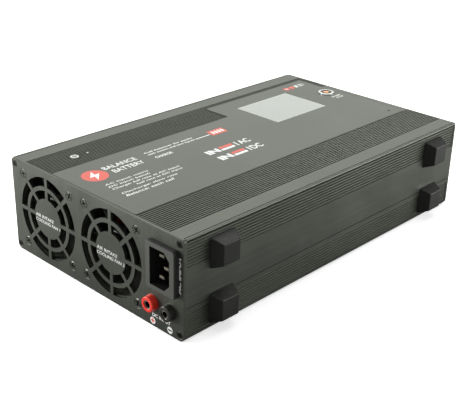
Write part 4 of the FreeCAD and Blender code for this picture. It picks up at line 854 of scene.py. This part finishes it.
def cross_screw_tree():
    """A countersunk screw with a cross recess and a threaded shank, its face just under z = 0."""
    inputs = {**TREE_IN, "Head radius": 0.0026, "Shank radius": 0.00125, "Head depth": 0.0013,
              "Length": 0.012, "Seed": 1}
    g, given, result = new_group("cross_screw", "GeometryNodeTree", inputs, GEOMETRY_OUT)
    head_r, shank_r = given.outputs["Head radius"], given.outputs["Shank radius"]
    depth, length = given.outputs["Head depth"], given.outputs["Length"]
    crown_z = -FACE_SINK - CROWN_DEPTH
    head_z = g.math("SUBTRACT", crown_z, depth)
    head = g.add("GeometryNodeMeshBoolean", operation="UNION", solver="EXACT")
    g.feed(head.inputs["Mesh 2"],
           cone(g, HEAD_SIDES, g.times(head_r, CROWN_TOP), head_r, CROWN_DEPTH, crown_z))
    g.feed(head.inputs["Mesh 2"], cone(g, HEAD_SIDES, head_r, shank_r, depth, head_z))
    arm, slot = g.times(head_r, SLOT_ARM), g.times(head_r, SLOT_WIDTH)
    deep = g.times(depth, SLOT_DEPTH)
    recess = g.add("GeometryNodeMeshBoolean", {"Mesh 1": head.outputs["Mesh"]}, operation="DIFFERENCE",
                   solver="EXACT")
    for x, y in ((arm, slot), (slot, arm)):
        g.feed(recess.inputs["Mesh 2"], g.made("GeometryNodeMeshCube", {"Size": g.xyz(x, y, deep)}))
    g.feed(recess.inputs["Mesh 2"],
           cone(g, PIT_SIDES, g.times(head_r, PIT_TOP), g.times(head_r, PIT_FLOOR), deep,
                g.times(deep, -PIT_DEPTH)))
    thread_length = g.math("SUBTRACT", length, g.math("ADD", depth, FACE_SINK + CROWN_DEPTH))
    core = cone(g, SHANK_SIDES, shank_r, g.times(shank_r, SHANK_TIP), thread_length,
                g.times(length, -1.0))
    turns = g.math("FLOOR", g.math("DIVIDE", thread_length, THREAD_PITCH))
    first = g.xyz(z=g.math("SUBTRACT", head_z, THREAD_PITCH))
    rows = g.made("GeometryNodeMeshLine", {"Count": turns, "Start Location": first,
                                           "Offset": (0.0, 0.0, -THREAD_PITCH)}, mode="OFFSET")
    ridge = cone(g, SHANK_SIDES, shank_r, g.times(shank_r, RIDGE), THREAD_PITCH * RIDGE_WIDTH, 0.0)
    thread = g.made("GeometryNodeInstanceOnPoints", {"Points": rows, "Instance": ridge})
    screw = g.add("GeometryNodeJoinGeometry")
    for part in (recess.outputs["Mesh"], core, thread):
        g.feed(screw.inputs["Geometry"], part)
    angle = g.random("FLOAT", {"Min": -0.5, "Max": 0.5, "Seed": given.outputs["Seed"]})
    instance_and_finish(g, given, result, screw.outputs["Geometry"], angle)
    return g.tree


SCREW_INSET = 2.6 * MM
FAN_SCREW_SQUARE = 50.0 * MM
CORNER_SCREW = {"Head radius": 2.35 * MM, "Shank radius": 1.1 * MM, "Head depth": 1.2 * MM,
                "Length": 11.9 * MM, "Seed": 4}
FAN_SCREW = {"Head radius": 3.1 * MM, "Shank radius": 1.65 * MM, "Head depth": 1.4 * MM,
             "Length": 8.9 * MM, "Seed": 9}


def screws():
    """The corner screws of both end plates and the fan screws."""
    tree = cross_screw_tree()
    low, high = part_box("end_plate_screws")
    corners = [(y, z) for y in (low.y + SCREW_INSET, high.y - SCREW_INSET)
               for z in (low.z + SCREW_INSET, high.z - SCREW_INSET)]
    points = [(x, y, z) for x in (FAN_FACE_X, OUTPUT_FACE_X) for y, z in corners]
    directions = [(-1, 0, 0)] * len(corners) + [(1, 0, 0)] * len(corners)
    grow("corner_screws", tree, points, directions, {"Material": FINISHES["black_screw"], **CORNER_SCREW},
         "case", ["end_plate_screws"])
    half = FAN_SCREW_SQUARE / 2
    points = [(FAN_FACE_X, centre.y + a * half, centre.z + b * half)
              for centre in FAN_CENTRES for a in (-1, 1) for b in (-1, 1)]
    grow("fan_cross_screws", tree, points, [(-1, 0, 0)] * len(points),
         {"Material": FINISHES["grey_screw"], **FAN_SCREW}, "case", ["fan_screws"])


STEPS_A_TURN, WIRE_SIDES, SQUARENESS = 12, 6, 0.45


def winding_tree():
    """Enamelled wire wound round a ring core of square section, lying level."""
    inputs = {**TREE_IN, "Ring radius": 0.0085, "Half width": 0.0034, "Half height": 0.0064,
              "Wire radius": 0.0004, "Turns": 22, "Covered": 0.9}
    g, given, result = new_group("ring_winding", "GeometryNodeTree", inputs, GEOMETRY_OUT)
    count = g.times(given.outputs["Turns"], STEPS_A_TURN)
    line = g.made("GeometryNodeMeshLine", {"Count": count}, mode="OFFSET")
    index = g.made("GeometryNodeInputIndex")
    around = g.times(g.math("DIVIDE", index, count), g.times(given.outputs["Covered"], 2 * math.pi))
    through = g.times(index, 2 * math.pi / STEPS_A_TURN)

    def squared(wave):
        return g.times(g.math("SIGN", wave), g.math("POWER", g.math("ABSOLUTE", wave), SQUARENESS))

    reach = g.times(squared(g.math("COSINE", through)), given.outputs["Half width"])
    radius = g.math("ADD", given.outputs["Ring radius"], reach)
    height = g.times(squared(g.math("SINE", through)), given.outputs["Half height"])
    place = g.xyz(g.times(radius, g.math("COSINE", around)), g.times(radius, g.math("SINE", around)),
                  height)
    shaped = g.made("GeometryNodeSetPosition",
                    {"Geometry": g.made("GeometryNodeMeshToCurve", {"Mesh": line}), "Position": place})
    section = g.made("GeometryNodeCurvePrimitiveCircle", {"Resolution": WIRE_SIDES,
                                                          "Radius": given.outputs["Wire radius"]})
    wire = g.made("GeometryNodeCurveToMesh", {"Curve": shaped, "Profile Curve": section,
                                              "Fill Caps": True})
    instance_and_finish(g, given, result, wire)
    return g.tree


CORE_FOOT = 1.5 * MM
INDUCTOR_XS, INDUCTOR_ROW_Y, INDUCTOR_HALF = (-65.0, -35.0, -5.0, 25.0), -62.0 * MM, 6.0 * MM
LONE_INDUCTOR = (52.0 * MM, 24.0 * MM)
CHOKE_HALF = 6.5 * MM
CHOKE_WINDING = {"Turns": 30, "Ring radius": 10.5 * MM, "Half width": 3.95 * MM, "Half height": 6.9 * MM}


def core_windings():
    """Copper on the five charge inductors and the mains choke."""
    tree = winding_tree()
    board_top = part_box("charge_inductors")[0].z
    level = board_top + CORE_FOOT + INDUCTOR_HALF
    points = [(x * MM, INDUCTOR_ROW_Y, level) for x in INDUCTOR_XS] + [(*LONE_INDUCTOR, level)]
    copper = FINISHES["winding_copper"]
    grow("inductor_windings", tree, points, [UP] * len(points), {"Material": copper, "Turns": 24}, "case")
    low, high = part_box("line_choke")
    middle = (low + high) / 2
    grow("choke_windings", tree, [(middle.x, middle.y, board_top + CORE_FOOT + CHOKE_HALF)], [UP],
         {"Material": copper, **CHOKE_WINDING}, "case")


CHIP_HEIGHT, CHIP_STEP, CHIP_MARGIN = 0.9 * MM, 7.0 * MM, 9.0 * MM
# Shares of a chip's length, and how much its ends stand proud of its body.
BODY_LENGTH, END_LENGTH, END_PLACE, END_PROUD = 0.66, 0.18, 0.42, 1.04


def chip_tree():
    """Small surface parts: a dark body between two tinned ends, thinned out by chance."""
    inputs = {**TREE_IN, "Tinned": "NodeSocketMaterial", "Length": 0.003, "Width": 0.0015,
              "Height": 0.0009, "Kept": 0.6, "Seed": 3}
    g, given, result = new_group("surface_parts", "GeometryNodeTree", inputs, GEOMETRY_OUT)
    length, width, height, seed = (given.outputs[label] for label in ("Length", "Width", "Height", "Seed"))
    body = g.made("GeometryNodeMeshCube", {"Size": g.xyz(g.times(length, BODY_LENGTH), width, height)})
    end_size = g.xyz(g.times(length, END_LENGTH), g.times(width, END_PROUD), g.times(height, END_PROUD))
    end = g.made("GeometryNodeMeshCube", {"Size": end_size})
    end = g.made("GeometryNodeStoreNamedAttribute", {"Geometry": end, "Name": "tinned_end", "Value": True},
                 data_type="BOOLEAN", domain="FACE")
    chip = g.add("GeometryNodeJoinGeometry")
    g.feed(chip.inputs["Geometry"], body)
    for side in (-END_PLACE, END_PLACE):
        moved = g.made("GeometryNodeTransform", {"Geometry": end,
                                                 "Translation": g.xyz(g.times(length, side))})
        g.feed(chip.inputs["Geometry"], moved)
    chosen = g.random("BOOLEAN", {"Probability": given.outputs["Kept"], "Seed": seed})
    turns = g.random("INT", {"Min": 0, "Max": 1, "Seed": seed})
    placed = g.made("GeometryNodeInstanceOnPoints",
                    {"Points": given.outputs["Geometry"], "Selection": chosen,
                     "Instance": chip.outputs["Geometry"], "Rotation": g.xyz(z=g.times(turns, math.pi / 2))})
    real = g.made("GeometryNodeRealizeInstances", {"Geometry": placed})
    dark = g.made("GeometryNodeSetMaterial", {"Geometry": real, "Material": given.outputs["Material"]})
    ends = g.add("GeometryNodeInputNamedAttribute", {"Name": "tinned_end"}, data_type="BOOLEAN")
    tinned = g.made("GeometryNodeSetMaterial", {"Geometry": dark, "Selection": ends.outputs["Attribute"],
                                                "Material": given.outputs["Tinned"]})
    g.feed(result.inputs["Geometry"], tinned)
    return g.tree


def surface_parts():
    """Chips under the control board, in loose rows."""
    low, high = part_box("control_board")
    columns = int((high.x - low.x - 2 * CHIP_MARGIN) / CHIP_STEP)
    rows = int((high.y - low.y - 2 * CHIP_MARGIN) / CHIP_STEP)
    points = [(low.x + CHIP_MARGIN + i * CHIP_STEP, low.y + CHIP_MARGIN + j * CHIP_STEP,
               low.z - CHIP_HEIGHT / 2) for i in range(columns + 1) for j in range(rows + 1)]
    grow("control_board_parts", chip_tree(), points, [(0, 0, -1)] * len(points),
         {"Material": FINISHES["black_plastic"], "Tinned": FINISHES["plated_contact"],
          "Height": CHIP_HEIGHT}, "case")


# ---- floor, light and camera -----------------------------------------------------------
FLOOR_SEEN = (0.94, 0.94, 0.94, 1.0)
FLOOR_BOUNCE = (0.32, 0.32, 0.32, 1.0)
FLOOR_REACH, FLOOR_GLOW = 4.0, 0.55
WHITE = (1.0, 1.0, 1.0, 1.0)
SKY_STRENGTH = 0.45
# Name, place, target, size, power and colour.
LIGHTS = (
    ("overhead", (0.15, 0.25, 1.1), (0.0, 0.0, 0.0), (1.3, 1.1), 10.0, WHITE[:3]),
    ("back_light", (1.0, 1.0, 0.75), (0.0, 0.0, 0.06), (1.6, 0.7), 5.0, (0.97, 1.0, 0.93)),
    ("fan_end_light", (-0.50, 0.42, 0.12), (-0.14, 0.03, 0.03), (0.35, 0.2), 4.0, WHITE[:3]),
    ("side_light", (0.50, -0.55, 0.10), (0.08, -0.08, 0.03), (0.45, 0.18), 3.6, WHITE[:3]))
CAMERA_PLACE = Vector((-0.4493, -0.4098, 0.3003))
CAMERA_ANGLES = (-46.7068, 24.8118, 1.540)      # azimuth, elevation and roll, in degrees
LENS_MM, SENSOR_MM = 70.05, 36.0


def studio_floor():
    bm = bmesh.new()
    bm.faces.new([bm.verts.new((x * FLOOR_REACH, y * FLOOR_REACH, 0.0))
                  for x, y in ((-1, -1), (1, -1), (1, 1), (-1, 1))])
    mesh = bpy.data.meshes.new("studio_floor")
    bm.to_mesh(mesh)
    bm.free()
    floor = Finish("studio_floor", Roughness=0.9)
    shade = floor.span(floor.noise(floor.object_place(), 3.0, 2.0), 0.3, 0.7, 0.96, 1.0)
    seen = floor.add("ShaderNodeLightPath").outputs["Is Camera Ray"]
    floor.drive("Base Color", floor.mix(seen, FLOOR_BOUNCE, FLOOR_SEEN))
    floor.shader.inputs["Emission Color"].default_value = WHITE
    floor.drive("Emission Strength", floor.times(floor.times(seen, shade), FLOOR_GLOW))
    mesh.materials.append(floor.material)
    piece = bpy.data.objects.new("studio_floor", mesh)
    SCENE.collection.objects.link(piece)


def soft_light(name, place, target, size, power, colour):
    lamp = bpy.data.lights.new(name, "AREA")
    lamp.shape = "RECTANGLE"
    lamp.size, lamp.size_y = size
    lamp.energy = power
    lamp.color = colour
    holder = bpy.data.objects.new(name, lamp)
    holder.location = place
    holder.rotation_euler = (Vector(target) - Vector(place)).to_track_quat("-Z", "Y").to_euler()
    SCENE.collection.objects.link(holder)


def studio_light():
    world = bpy.data.worlds.new("studio")
    world.use_nodes = True
    sky = world.node_tree.nodes["Background"]
    sky.inputs["Color"].default_value = WHITE
    sky.inputs["Strength"].default_value = SKY_STRENGTH
    SCENE.world = world
    for row in LIGHTS:
        soft_light(*row)
    SCENE.view_settings.view_transform = "Standard"


def camera():
    """A long lens above the near corner, slightly rolled."""
    azimuth, elevation, roll = (math.radians(angle) for angle in CAMERA_ANGLES)
    back = Vector((math.sin(azimuth) * math.cos(elevation), -math.cos(azimuth) * math.cos(elevation),
                   math.sin(elevation)))
    level = (-back).cross(Vector(UP)).normalized()
    upright = level.cross(-back)
    right = math.cos(roll) * level + math.sin(roll) * upright
    up = math.cos(roll) * upright - math.sin(roll) * level
    lens = bpy.data.cameras.new("camera")
    lens.lens = LENS_MM
    lens.sensor_width = SENSOR_MM
    lens.sensor_fit = "HORIZONTAL"
    holder = bpy.data.objects.new("camera", lens)
    columns = [right, up, back, CAMERA_PLACE]
    holder.matrix_world = Matrix([[c[row] for c in columns] for row in range(3)] + [[0, 0, 0, 1]])
    SCENE.collection.objects.link(holder)
    SCENE.camera = holder


# ---- the whole charger -----------------------------------------------------------------
camera()
studio_floor()
studio_light()
dress_cad_nodes()
label_print()
fan_end_print()
output_end_print()
screws()
core_windings()
surface_parts()
